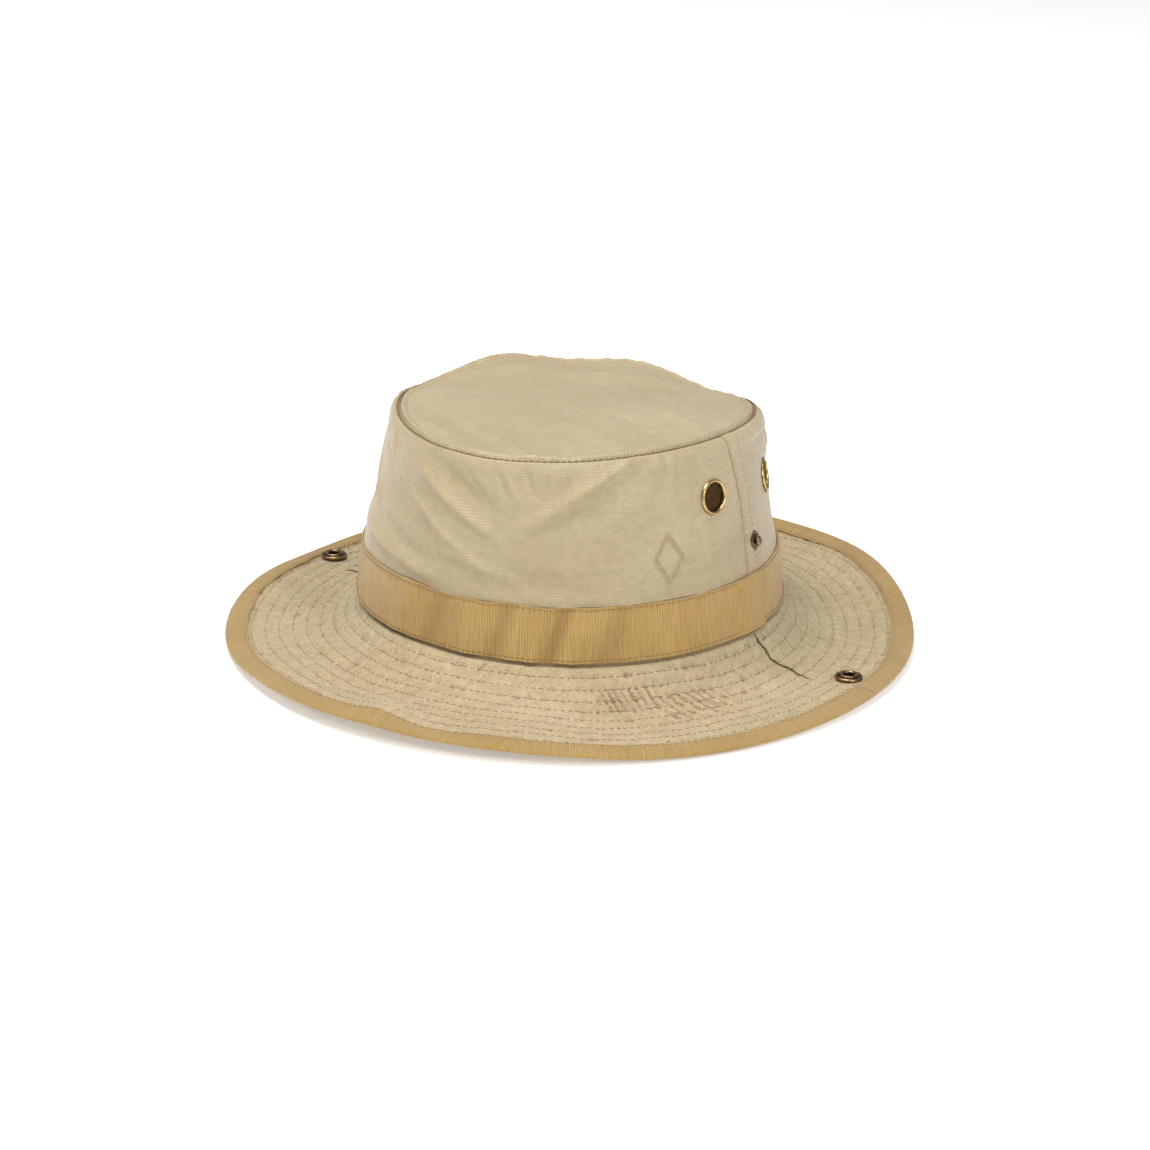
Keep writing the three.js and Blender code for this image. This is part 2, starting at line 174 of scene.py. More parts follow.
def crown_swell(theta, rise):
    """Broad bulges of the crown, which the ribbon and the sweatband follow."""
    degrees = np.degrees(theta)
    swell = np.zeros(np.broadcast(theta, rise).shape)
    for centre, width, size, start, end in CROWN_SWELLS:
        swell = swell + size * sector(degrees, centre, width) * (1 - smooth(start, end, rise))
    hollow = sector(degrees, 28.0, 24.0) * bell(rise - 0.78, 0.3)
    return swell - 1.5 * hollow


def wall_base(theta, rise, out=0.0):
    """Outer face of the crown wall: rise 0 is the root, 1 the shoulder and 2 the tip's seam."""
    climb = np.clip(rise, -0.1, 1)
    turn = np.clip(rise - 1, 0, 1) * math.pi / 2
    shoulder = seam_height(theta) - SHOULDER_DROP
    swell = 4 * WALL_BULGE * climb * (1 - climb)
    round_in = 1 - np.cos(turn)
    sizes = []
    for root, end, seam in (
        (ROOT_HALF_WIDTH - WALL_INSET, SHOULDER_HALF_WIDTH, SEAM_HALF_WIDTH),
        (ROOT_HALF_LENGTH - WALL_INSET, SHOULDER_HALF_LENGTH, SEAM_HALF_LENGTH),
    ):
        sizes.append(root + (end - root) * climb + swell - (end - seam) * round_in)
    lifted = rim_lift(theta) * smooth(0.35, 1.6, rise)
    flat = (out + crown_swell(theta, rise)) * np.cos(turn)
    return points_at(
        (sizes[0] + flat) * np.cos(theta),
        (sizes[1] + flat) * np.sin(theta),
        shoulder * climb + (SHOULDER_DROP + out) * np.sin(turn) + lifted,
    )


def wall_rise(theta, height):
    """The rise, from 0 to 1, of a height of the wall above the root."""
    return height / (seam_height(theta) - SHOULDER_DROP)


def wall_travel(rise, shoulder=9.0):
    """The length of cloth from the root to a rise; shoulder is the length from 1 to 2."""
    return np.clip(rise, 0, 1) * WALL_HEIGHT + np.clip(rise - 1, 0, 1) * shoulder


WALL_FOLDS = (
    # start and end as (angle, height), then half width and height of the fold
    ((-110, 75), (-82, 53), 2.4, 2.4),
    ((-106, 81), (-80, 62), 4.2, -2.2),
    ((-116, 66), (-88, 42), 1.9, 1.7),
    ((-120, 58), (-96, 40), 4.6, -1.8),
    ((-138, 38), (-98, 29), 3.2, 2.2),
    ((-132, 47), (-100, 35), 4.0, -1.5),
    ((-100, 44), (-74, 34), 3.0, 1.0),
    ((-70, 57), (-47, 79), 3.6, 1.8),
    ((-62, 57), (-42, 78), 3.0, -1.6),
    ((-56, 70), (-36, 86), 1.7, 1.5),
    ((-52, 63), (-34, 82), 2.0, -1.3),
    ((-46, 58), (-33, 70), 3.0, 0.8),
    ((-78, 36), (-54, 30), 5.0, -1.0),
    ((-90, 78), (-84, 68), 1.5, -0.8),
    ((-80, 80), (-76, 66), 1.3, -1.1),
    ((-77, 78), (-72, 66), 1.5, 0.9),
    ((-71, 80), (-68, 70), 1.2, -0.9),
    ((-64, 80), (-62, 70), 1.2, 0.8),
    ((-58, 78), (-58, 70), 1.2, -0.6),
    ((-24, 84), (-18, 74), 1.4, -0.7),
    ((-8, 84), (-2, 72), 1.6, 0.7),
    ((-30, 40), (-16, 52), 4.0, 0.7),
    ((-20, 30), (-4, 40), 4.0, -0.8),
    ((-150, 68), (-130, 46), 3.4, 1.7),
    ((-160, 34), (-140, 52), 4.0, -1.4),
    ((-142, 80), (-124, 66), 3.0, -1.2),
    ((6, 76), (20, 66), 3.0, -0.8),
    ((30, 76), (52, 48), 3.2, 1.8),
    ((40, 80), (64, 54), 4.2, -1.8),
    ((64, 34), (96, 50), 3.6, 1.7),
    ((58, 30), (84, 40), 3.6, -1.2),
    ((86, 74), (108, 48), 3.2, 1.6),
    ((112, 78), (128, 50), 4.2, -2.0),
    ((128, 40), (152, 60), 3.6, 1.6),
    ((158, 72), (170, 48), 3.0, -1.2),
    ((188, 80), (204, 60), 3.0, 1.0),
)
WALL_RADIUS = 88.0
FOLD_SHARE, TIP_FOLD_SHARE, RIBBON_FOLD_SHARE = 0.66, 1.5, 1.3


def wall_relief(theta, rise):
    """Folds, puckers and slack of the wall's cloth, along its normal."""
    height = wall_travel(rise, 10)
    degrees = np.degrees(theta)
    relief = np.zeros_like(height)
    for (a0, h0), (a1, h1), width, size in WALL_FOLDS:
        middle = (a0 + a1) / 2
        u = np.radians(turn_between(degrees, middle)) * WALL_RADIUS
        half = math.radians(a1 - a0) / 2 * WALL_RADIUS
        relief += FOLD_SHARE * ridge(u, height, (-half, h0), (half, h1), width, size)
    for size, seed, around, upwards in ((0.8, 11, 22, 3), (0.34, 12, 64, 9), (0.1, 14, 190, 30)):
        relief += size * round_noise(theta, height, seed, around, upwards, 110)
    gather = smooth(0.78, 1.0, rise) * (1 - smooth(1.5, 1.9, rise))
    relief += 0.5 * gather * round_noise(theta, height, 13, 150, 4, 140)
    shrink = 0.25 + 0.75 * smooth(0.27, 0.42, rise)
    return relief * shrink * (1 - smooth(1.5, 2.0, rise))


def side_seam(height, side):
    """The angle of a side seam of the crown at a height above the root."""
    top = smooth(40.0, 92.0, height)
    angle = np.radians(-0.4 - 4.8 * top**1.6)
    return angle if side > 0 else math.pi - angle


# ---------------------------------------------------------------- brim surface


BRIM_COLUMNS, BRIM_ROWS = 1080, 90
FIRST_ROW, ROW_PITCH, ROW_COUNT = 5.6, 6.15, 9
BRIM_THETA = np.arange(BRIM_COLUMNS) * TAU / BRIM_COLUMNS
BRIM_RUN = np.linspace(-1.6, BRIM_WIDTH - 1.2, BRIM_ROWS)


def brim_slope(theta, part):
    """The brim's slope at a share of its width, through three slopes set by the angle."""
    start = -57 - 13 * np.cos(2 * theta)
    middle = -6.2 + 0.5 * np.cos(2 * theta) - np.sin(theta) + 2 * np.cos(4 * theta)
    end = 5.7 - 9.2 * np.cos(2 * theta) + 14 * np.sin(theta)
    a = 2 * (part - 0.5) * (part - 1)
    b = 4 * part * (1 - part)
    c = 2 * part * (part - 0.5)
    return np.radians(start * a + middle * b + end * c)


BRIM_WAVES = (
    # angle, half width in degrees, lift at the edge
    (54.0, 21.0, 9.0),
    (175.0, 13.0, -2.4),
    (-118.0, 10.0, 1.0),
    (-60.0, 12.0, 0.8),
    (110.0, 13.0, 1.4),
)
BRIM_BUCKLES = (
    # angle and half width in degrees, run and half width, lift
    (-91.0, 4.5, 54.0, 8.0, 1.9),
    (-81.0, 5.0, 54.0, 9.0, -1.5),
    (-104.0, 6.0, 40.0, 12.0, -1.0),
    (-68.0, 8.0, 40.0, 14.0, 1.0),
    (-50.0, 7.0, 34.0, 12.0, -0.9),
    (-132.0, 8.0, 44.0, 12.0, 0.9),
    (-6.0, 7.0, 24.0, 12.0, 0.8),
    (70.0, 9.0, 36.0, 14.0, 1.0),
    (140.0, 9.0, 42.0, 12.0, -1.0),
    (205.0, 7.0, 34.0, 12.0, 1.1),
)
SOCKET_X, MEAN_RADIUS = 135.0, 94.0


def brim_wave(theta, run):
    """Slow waves of the whole brim, which all its layers share. None at the sockets."""
    degrees = np.degrees(theta)
    reach = smooth(18.0, BRIM_WIDTH, run)
    lift = 0.8 * reach * round_noise(theta, run, 31, 9, 2, 200)
    for centre, width, size in BRIM_WAVES:
        lift = lift + size * reach * sector(degrees, centre, width)
    for centre, width, middle, half, size in BRIM_BUCKLES:
        lift = lift + size * sector(degrees, centre, width) * bell(run - middle, half)
    radius = MEAN_RADIUS - 1 + run
    side = np.where(np.cos(theta) > 0, 1.0, -1.0)
    away = np.hypot(radius * np.cos(theta) - side * SOCKET_X, radius * np.sin(theta) - TRIM_Y)
    return lift * smooth(4.0, 22.0, away)


# Lifts from the brim's upper face, and the floor's height with a little to spare.
BRIM_MIDDLE = -1.2
BINDING_TOP, BINDING_BOTTOM = 0.95, -3.25
FLOOR_HEIGHT = -ROOT_HEIGHT + 0.1
SLOPE_PIECES = 16


def squeezed(run, lift):
    """The brim's layers are pressed together under the binding's outer edge."""
    tight = 1 - 0.36 * smooth(BRIM_WIDTH - 10, BRIM_WIDTH - 1.5, run)
    return BRIM_MIDDLE + (lift - BRIM_MIDDLE) * tight


def brim_point(theta, run, lift):
    """A point of the brim: run outwards along the cloth, then lift off its upper face.
    The whole stack of layers is raised where it would sink into the floor."""
    theta, run, lift = np.broadcast_arrays(theta, run, lift)
    reach, drop = np.zeros(theta.shape), np.zeros(theta.shape)
    for i in range(SLOPE_PIECES):
        slope = brim_slope(theta, (i + 0.5) / SLOPE_PIECES * run / BRIM_WIDTH)
        reach += np.cos(slope) * run / SLOPE_PIECES
        drop += np.sin(slope) * run / SLOPE_PIECES
    slope = brim_slope(theta, run / BRIM_WIDTH)
    height = squeezed(run, lift) + brim_wave(theta, run)
    reach -= np.sin(slope) * height
    bottom = squeezed(run, BINDING_BOTTOM - 0.2) + height - squeezed(run, lift)
    deep = FLOOR_HEIGHT - (drop + np.cos(slope) * bottom)
    drop += np.cos(slope) * height + np.logaddexp(0, 5 * deep) / 5
    x, y = np.cos(theta) / ROOT_HALF_WIDTH, np.sin(theta) / ROOT_HALF_LENGTH
    size = np.hypot(x, y)
    return points_at(
        ROOT_HALF_WIDTH * np.cos(theta) + x / size * reach,
        ROOT_HALF_LENGTH * np.sin(theta) + y / size * reach,
        drop,
    )


def brim_radius(run):
    """The mean distance of a run from the hat's middle, which turns angles into lengths."""
    return MEAN_RADIUS + 0.9 * run


def row_wobble(theta):
    """How far the rows of stitching wander from their runs."""
    return 0.45 * round_noise(theta, 0.0, 32, 23, 1) + 0.2 * np.sin(9 * theta + 1)


def stamp(field, crease):
    """Adds one short crease to a field over the brim's grid of angle and run."""
    angle, run, lean, length, width, height = crease
    radius = brim_radius(run)
    span = (length / 2 + 3 * width) / radius
    middle = int(round(angle / TAU * BRIM_COLUMNS))
    half = max(2, int(span / TAU * BRIM_COLUMNS) + 1)
    columns = np.arange(middle - half, middle + half + 1)
    near = np.abs(BRIM_RUN - run) < length / 2 + 3 * width
    rows = np.nonzero(near)[0]
    u = (columns * TAU / BRIM_COLUMNS - angle)[:, None] * radius
    v = (BRIM_RUN[rows] - run)[None, :]
    along = u * math.sin(lean) + v * math.cos(lean)
    across = u * math.cos(lean) - v * math.sin(lean)
    shape = bell(across, width) * (1 - smooth(length * 0.25, length * 0.55, np.abs(along)))
    field[np.ix_(columns % BRIM_COLUMNS, rows)] += height * shape


def brim_creases(field, seed, count):
    """Short creases where the rows of stitching draw the cloth together."""
    random = np.random.default_rng(seed)
    for _ in range(count):
        angle = random.uniform(0, TAU)
        run = random.uniform(3, BRIM_WIDTH - 11)
        lean = random.normal(0.35, 0.5)
        length = random.uniform(3.0, 7.5)
        height = random.choice([-0.34, 0.3]) * random.uniform(0.3, 1.1)
        stamp(field, (angle, run, lean, length, random.uniform(0.45, 0.9), height))


PLEATS = (
    # angle and half width in degrees, run and half width, pitch, lean, depth
    (-45.0, 8.0, 18.0, 7.0, 3.4, 0.26, 1.5),
    (-29.0, 9.0, 26.0, 10.0, 4.0, 0.44, 1.8),
    (-112.0, 10.0, 24.0, 9.0, 4.2, 0.2, 0.45),
    (118.0, 12.0, 30.0, 11.0, 4.6, -0.5, 0.6),
    (205.0, 11.0, 28.0, 10.0, 4.6, 0.4, 0.6),
)


def pleats(theta, run):
    """Patches of parallel slanting pleats, where the brim was folded."""
    degrees = np.degrees(theta)
    wander = 0.3 * round_noise(theta, run, 71, 48, 5, 80)
    strength = 1.1 + 0.5 * round_noise(theta, run, 72, 200, 12, 80)
    field = np.zeros(np.broadcast(theta, run).shape)
    for angle, width, middle, half, pitch, lean, depth in PLEATS:
        turned = turn_between(degrees, angle)
        u = np.radians(turned) * brim_radius(run)
        across = u * math.cos(lean) - (run - middle) * math.sin(lean)
        valley = (0.5 + 0.5 * np.cos(TAU * (across / pitch + wander))) ** 1.8
        area = np.exp(-((turned / width) ** 4)) * np.exp(-(((run - middle) / half) ** 4))
        field = field - depth * strength * area * (valley - 0.35)
    return field


DEEPEST_CREASE = -0.8


def brim_relief(seed):
    """Height of one brim cloth over the grid: sewn down along the rows of stitching and puffed
    up between them, with fine crumples, creases and pleats."""
    theta, run = BRIM_THETA[:, None], BRIM_RUN[None, :]
    phase = (run + row_wobble(theta) - FIRST_ROW) / ROW_PITCH
    row = np.clip(np.round(phase), 0, ROW_COUNT - 1)
    distance = np.abs(phase - row) * ROW_PITCH
    field = 0.42 * (1 - bell(distance, 1.2)) - 0.1
    field += 0.16 * round_noise(theta, run, seed + 1, 300, 26, 80)
    field += 0.2 * round_noise(theta, run, seed + 2, 110, 12, 80)
    slanted = theta / TAU + run * 0.0006
    for extra, around, outwards in ((7, 230, 11), (8, 330, 20)):
        level = wave_noise(slanted, run, seed + extra, around, outwards, 1.0, 80)
        field -= 0.4 * (1 - np.abs(level)) ** 8
    brim_creases(field, seed + 3, 3200)
    field = field + pleats(theta, run)
    field = np.maximum(field, DEEPEST_CREASE) * smooth(-1.0, 4.5, run)
    return field - 1.3 * bell(run - 0.2, 1.2)


def sample(field, theta, run):
    """The field's value at any angle and run, between the grid's points."""
    x = (theta / TAU % 1.0) * BRIM_COLUMNS
    y = np.clip((run - BRIM_RUN[0]) / (BRIM_RUN[-1] - BRIM_RUN[0]), 0, 1) * (BRIM_ROWS - 1)
    x0, y0 = np.floor(x).astype(int) % BRIM_COLUMNS, np.floor(y).astype(int)
    x1, y1 = (x0 + 1) % BRIM_COLUMNS, np.minimum(y0 + 1, BRIM_ROWS - 1)
    return between(field, (x0, x1), (y0, y1), x - np.floor(x), y - y0)


# ---------------------------------------------------------------- meshes


def grid_quads(columns, rows):
    index = np.arange(columns * rows).reshape(columns, rows)
    a, b = index[:-1, :-1], index[1:, :-1]
    c, d = index[1:, 1:], index[:-1, 1:]
    return np.stack([a, b, c, d], -1).reshape(-1, 4)


def outward(points, quads):
    """The quads turned, if need be, so that the closed body's faces point out."""
    a, b, c, d = (points[quads[:, i]] for i in range(4))
    volume = np.einsum("ij,ij->", a, np.cross(b, c)) + np.einsum("ij,ij->", a, np.cross(c, d))
    if volume > 0:
        return quads
    turned = quads[:, ::-1].copy()
    triangle = quads[:, 2] == quads[:, 3]
    turned[triangle] = quads[triangle][:, [0, 2, 1, 1]]
    return turned


def make_object(name, points, quads, material, uv=None, sharp=50.0, normals=None):
    """points are in millimetres from the brim root. A quad whose last two corners are the
    same is a triangle. normals are for the corners of the first len(normals) quads."""
    mesh = bpy.data.meshes.new(name)
    world = (points + np.array([0, 0, ROOT_HEIGHT])) * MM
    totals = np.where(quads[:, 2] == quads[:, 3], 3, 4)
    starts = np.concatenate([[0], np.cumsum(totals)[:-1]])
    used = np.ones(quads.shape, bool)
    used[totals == 3, 3] = False
    corners = quads[used]
    mesh.vertices.add(len(world))
    mesh.vertices.foreach_set("co", world.astype(np.float32).ravel())
    mesh.loops.add(len(corners))
    mesh.loops.foreach_set("vertex_index", corners.astype(np.int32))
    mesh.polygons.add(len(quads))
    mesh.polygons.foreach_set("loop_start", starts.astype(np.int32))
    mesh.update(calc_edges=True)
    if uv is not None:
        layer = mesh.uv_layers.new(name="cloth")
        layer.uv.foreach_set("vector", uv[corners].astype(np.float32).ravel())
    mesh.polygons.foreach_set("use_smooth", np.ones(len(quads), bool))
    mesh.set_sharp_from_angle(angle=math.radians(sharp))
    if normals is not None:
        given = np.zeros((len(corners), 3))
        given[: len(normals)] = normals
        mesh.normals_split_custom_set(given)
    obj = bpy.data.objects.new(name, mesh)
    bpy.context.scene.collection.objects.link(obj)
    mesh.materials.append(material)
    return obj


def make_shell(name, outer, inner, material, uv, keep=None, normals=None, crease=None):
    """A closed sheet between two grids of points, columns by rows. keep says which cells
    stay where the sheet has holes; normals are grids for the two faces; crease is a grid
    of painted shade, 1 where the cloth's colour is darkened most, in creases and under edges."""
    columns, rows = outer.shape[:2]
    count = columns * rows
    points = np.concatenate([outer.reshape(-1, 3), inner.reshape(-1, 3)])
    top = grid_quads(columns, rows)
    if keep is not None:
        top = top[keep.ravel()]
    edges = np.concatenate([top[:, [i, (i + 1) % 4]] for i in range(4)]).astype(np.int64)
    forward = edges[:, 0] * count + edges[:, 1]
    backward = edges[:, 1] * count + edges[:, 0]
    a, b = edges[~np.isin(forward, backward)].T
    rim = np.stack([b, a, a + count, b + count], -1)
    quads = outward(points, np.concatenate([top, top[:, ::-1] + count, rim]))
    uvs = np.concatenate([uv.reshape(-1, 2)] * 2)
    faces = None
    if normals is not None:
        both = np.concatenate([grid.reshape(-1, 3) for grid in normals])
        faces = both[quads[: 2 * len(top)].ravel()]
    kept, compact = np.unique(quads, return_inverse=True)
    quads = compact.reshape(-1, 4)
    piece = make_object(name, points[kept], quads, material, uvs[kept], 50.0, faces)
    # Painted shade: the crease grid darkens the colour of this piece.
    if crease is not None:
        set_point_values(piece, "crease", np.tile(crease.ravel(), 2)[kept])
    return piece


def set_point_values(piece, name, values):
    attribute = piece.data.attributes.new(name, "FLOAT", "POINT")
    attribute.data.foreach_set("value", values.astype(np.float32))


def ring_normals(grid, other):
    """Normals of a closed ring of points, on the side away from the other face."""
    around = np.roll(grid, -1, axis=0) - np.roll(grid, 1, axis=0)
    normal = np.cross(around, np.gradient(grid, axis=1))
    normal /= np.linalg.norm(normal, axis=-1, keepdims=True)
    return normal * np.sign(np.sum(normal * (grid - other)))


def half_columns(count, side):
    """The columns of one side's half of a ring, both ends included."""
    quarter = count // 4
    first = -quarter if side > 0 else quarter
    return np.arange(first, first + 2 * quarter + 1) % count


def bend_with_brim(piece):
    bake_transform(piece)


def split_ring(name, outer, inner, material, uv, crease=None):
    """A ring of cloth as two halves that meet at x = 0."""
    normals = ring_normals(outer, inner), ring_normals(inner, outer)
    for label, side in SIDES:
        at = half_columns(len(outer), side)
        piece = make_shell(
            f"{name}_{label}",
            outer[at],
            inner[at],
            material,
            uv[at],
            normals=(normals[0][at], normals[1][at]),
            crease=None if crease is None else crease[at],
        )
        bend_with_brim(piece)
        end = "front" if side > 0 else "rear"
        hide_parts(f"{name}_{end}", f"{name}_{label}_flap")


def grain(stations, corners):
    """Quads of one stitch: rings of corners, closed at both ends."""
    quads = []
    for s in range(stations - 1):
        for k in range(corners):
            n = (k + 1) % corners
            low, high = s * corners, (s + 1) * corners
            quads.append([low + k, low + n, high + n, high + k])
    last = (stations - 1) * corners
    for k in range(1, corners - 1):
        quads.append([0, k + 1, k, k])
        quads.append([last, last + k, last + k + 1, last + k + 1])
    return np.array(quads)


STITCH_ALONG = np.array([-0.5, -0.4, -0.15, 0.15, 0.4, 0.5])
STITCH_FAT = np.array([0.3, 0.85, 1.0, 1.0, 0.85, 0.3])
STITCH_DIP = np.array([-1.5, -0.7, 0.3, 0.3, -0.7, -1.5])
STITCH_STATIONS = len(STITCH_ALONG)


def thread_row(path, normals, length=2.5, pitch=3.1, radius=0.22, corners=5):
    """Stitches along a path: each is a plump grain whose ends dip into the cloth."""
    steps = np.linalg.norm(np.diff(path, axis=0), axis=1)
    run = np.concatenate([[0], np.cumsum(steps)])
    count = int(run[-1] / pitch)
    middle = pitch * (0.5 + np.arange(count))

    def along_path(values, places):
        return np.stack([np.interp(places, run, values[:, i]) for i in range(3)], -1)

    at, up = along_path(path, middle), along_path(normals, middle)
    along = along_path(path, middle + length / 2) - along_path(path, middle - length / 2)
    return plump_stitches(at, along, up, length, radius, corners)


def plump_stitches(at, along, up, length, radius, corners):
    """Stitches centred at given points; the result is their points and quads."""
    along = along / np.linalg.norm(along, axis=1, keepdims=True)
    up = up - (up * along).sum(1, keepdims=True) * along
    up = up / np.linalg.norm(up, axis=1, keepdims=True)
    side = np.cross(along, up)
    turn = np.arange(corners) * TAU / corners
    height = (STITCH_DIP[:, None] + STITCH_FAT[:, None] * np.sin(turn)) * radius
    width = STITCH_FAT[:, None] * np.cos(turn) * radius
    ahead = np.broadcast_to(STITCH_ALONG[:, None] * length, height.shape)
    ring = at[:, None, None] + along[:, None, None] * ahead[..., None]
    ring = ring + up[:, None, None] * height[..., None] + side[:, None, None] * width[..., None]
    size = STITCH_STATIONS * corners
    quads = grain(STITCH_STATIONS, corners)
    quads = (quads[None] + (np.arange(len(at)) * size)[:, None, None]).reshape(-1, 4)
    return ring.reshape(-1, 3), quads


def make_threads(name, rows, material):
    """One object from many rows of stitches."""
    points, quads, start = [], [], 0
    for row_points, row_quads in rows:
        points.append(row_points)
        quads.append(row_quads + start)
        start += len(row_points)
    points, quads = np.concatenate(points), np.concatenate(quads)
    return make_object(name, points, outward(points, quads), material, sharp=80)


def seat(point, normal):
    """The place of a turned piece whose axis stands along the normal."""
    turn = Vector(normal).normalized().to_track_quat("Z", "Y")
    return Matrix.Translation(Vector(point)) @ turn.to_matrix().to_4x4()


def moved(points, place):
    return points @ np.array(place.to_3x3()).T + np.array(place.translation)


def make_lathe(name, profile, place, material, around=72):
    """A turned piece. profile is a list of (radius, height, wear), a closed loop when it
    stays off the axis and otherwise a line from axis to axis."""
    profile = np.array(profile, float)
    ring = profile[0, 0] > 0
    rows = len(profile)
    angle = np.arange(around)[:, None] * TAU / around
    radius, height = profile[:, 0], profile[:, 1]
    points = points_at(np.cos(angle) * radius, np.sin(angle) * radius, height).reshape(-1, 3)
    wear = np.tile(profile[:, 2], around)
    index = np.arange(around * rows).reshape(around, rows)
    if not ring:
        index[:, 0], index[:, -1] = 0, rows - 1
    after = np.roll(index, -1, axis=0)
    if ring:
        a, b, c, d = index, after, np.roll(after, -1, axis=1), np.roll(index, -1, axis=1)
    else:
        a, b, c, d = index[:, :-1], after[:, :-1], after[:, 1:], index[:, 1:]
    quads = np.stack([a, b, c, d], -1).reshape(-1, 4)
    first = quads[:, 0] == quads[:, 1]
    quads[first] = quads[first][:, [0, 2, 3, 3]]
    used, compact = np.unique(quads, return_inverse=True)
    quads = compact.reshape(-1, 4)
    points, wear = points[used], wear[used]
    quads = outward(points, quads)
    piece = make_object(name, moved(points, place), quads, material, sharp=35)
    set_point_values(piece, "wear", wear)
    return piece


# ---------------------------------------------------------------- materials


def new_material(name):
    material = bpy.data.materials.new(name)
    material.use_nodes = True
    tree = material.node_tree
    return material, tree, tree.nodes["Principled BSDF"]


def feed(tree, node, inputs):
    """Links or sets a node's inputs, each given by its name or number."""
    for key, value in inputs.items():
        if isinstance(value, bpy.types.NodeSocket):
            tree.links.new(value, node.inputs[key])
        else:
            node.inputs[key].default_value = value


def add(tree, kind, inputs=None, **settings):
    made = tree.nodes.new(kind)
    for key, value in settings.items():
        setattr(made, key, value)
    feed(tree, made, inputs or {})
    return made


def calc(tree, operation, *values):
    inputs = dict(enumerate(values))
    return add(tree, "ShaderNodeMath", inputs, operation=operation).outputs[0]


def colour(red, green, blue):
    """sRGB from 0 to 255, as the linear colour that the sockets take."""
    linear = []
    for part in (red, green, blue):
        share = part / 255
        linear.append(share / 12.92 if share < 0.04045 else ((share + 0.055) / 1.055) ** 2.4)
    return (*linear, 1.0)


def darker(rgb, share):
    return colour(*[part * share for part in rgb])


def mix(tree, factor, first, second):
    inputs = {0: factor, 6: first, 7: second}
    return add(tree, "ShaderNodeMix", inputs, data_type="RGBA").outputs[2]


def noise(tree, scale, detail=3.0, rough=0.55, vector=None):
    where = vector or add(tree, "ShaderNodeTexCoord").outputs["Object"]
    inputs = {"Vector": where, "Scale": scale, "Detail": detail, "Roughness": rough}
    return add(tree, "ShaderNodeTexNoise", inputs).outputs["Fac"]


def spread(tree, value, low, high, to_low=0.0, to_high=1.0):
    inputs = {0: value, 1: low, 2: high, 3: to_low, 4: to_high}
    return add(tree, "ShaderNodeMapRange", inputs).outputs[0]


def two_tones(tree, value, light, dark):
    """The dark and the light colour in soft blotches."""
    return mix(tree, spread(tree, value, 0.3, 0.7), colour(*dark), colour(*light))


def cloth_axes(tree):
    """Places along and across a cloth, in millimetres."""
    uv = add(tree, "ShaderNodeUVMap", uv_map="cloth").outputs[0]
    apart = add(tree, "ShaderNodeSeparateXYZ", {0: uv})
    return apart.outputs[0], apart.outputs[1]


def waves(tree, axis, pitch):
    """A sine from 0 to 1 along an axis of the cloth, both in millimetres."""
    return spread(tree, calc(tree, "SINE", calc(tree, "MULTIPLY", axis, TAU / pitch)), -1, 1)


def painted_crease_shade(tree, base, dark):
    """Painted shade: the base colour made darker and browner where the mesh's crease attribute is
    high, in creases and under lifted edges.
    """
    crease = add(tree, "ShaderNodeAttribute", attribute_name="crease").outputs["Fac"]
    red, green, blue = dark
    return mix(tree, crease, base, colour(red * 0.66, green * 0.57, blue * 0.42))


def finish_cloth(tree, shader, base, rough, height, depth, sheen):
    bump = add(tree, "ShaderNodeBump", {"Height": height, "Distance": depth, "Strength": 1.0})
    feed(tree, shader, {"Base Color": base, "Roughness": rough, "Normal": bump.outputs[0]})
    feed(tree, shader, {"Sheen Weight": sheen, "Sheen Roughness": 0.4})


RIPSTOP_PITCH, YARN_PITCH = 1.2, 0.375


def ripstop_material(name, light, dark, depth=0.00022, wrinkle=0.0, crinkle_shade=0.12, shine=0.7):
    """Thin shiny nylon with a fine ripstop grid."""
    material, tree, shader = new_material(name)
    u, v = cloth_axes(tree)
    across = calc(tree, "POWER", waves(tree, u, RIPSTOP_PITCH), 5.0)
    along = calc(tree, "POWER", waves(tree, v, RIPSTOP_PITCH), 5.0)
    grid = calc(tree, "MAXIMUM", across, along)
    weave = calc(tree, "MULTIPLY", waves(tree, u, YARN_PITCH), waves(tree, v, YARN_PITCH))
    fine = noise(tree, 900.0, 2.0)
    crumple = noise(tree, 260.0, 5.0, 0.62)
    base = two_tones(tree, noise(tree, 24.0, 4.0), light, dark)
    knots = calc(tree, "MULTIPLY", across, along)
    lines = calc(tree, "ADD", calc(tree, "MULTIPLY", grid, 0.15), calc(tree, "MULTIPLY", knots, 0.3))
    base = mix(tree, lines, base, darker(dark, 0.72))
    # Painted shade: the colour darkens in the low parts of the crumple bump.
    folded = spread(tree, crumple, 0.42, 0.56, crinkle_shade, 0.0)
    base = mix(tree, folded, base, darker(dark, 0.7))
    # Painted shade in creases and under lifted edges, from the crease attribute.
    base = painted_crease_shade(tree, base, dark)
    rough = spread(tree, fine, 0.3, 0.7, 0.36, 0.5)
    height = calc(tree, "ADD", calc(tree, "MULTIPLY", grid, 0.55), calc(tree, "MULTIPLY", weave, 0.3))
    height = calc(tree, "ADD", height, calc(tree, "MULTIPLY", crumple, 2.0 + wrinkle))
    finish_cloth(tree, shader, base, rough, height, depth, 0.15)
    feed(tree, shader, {"Specular IOR Level": shine, "Anisotropic": 0.2})
    return material


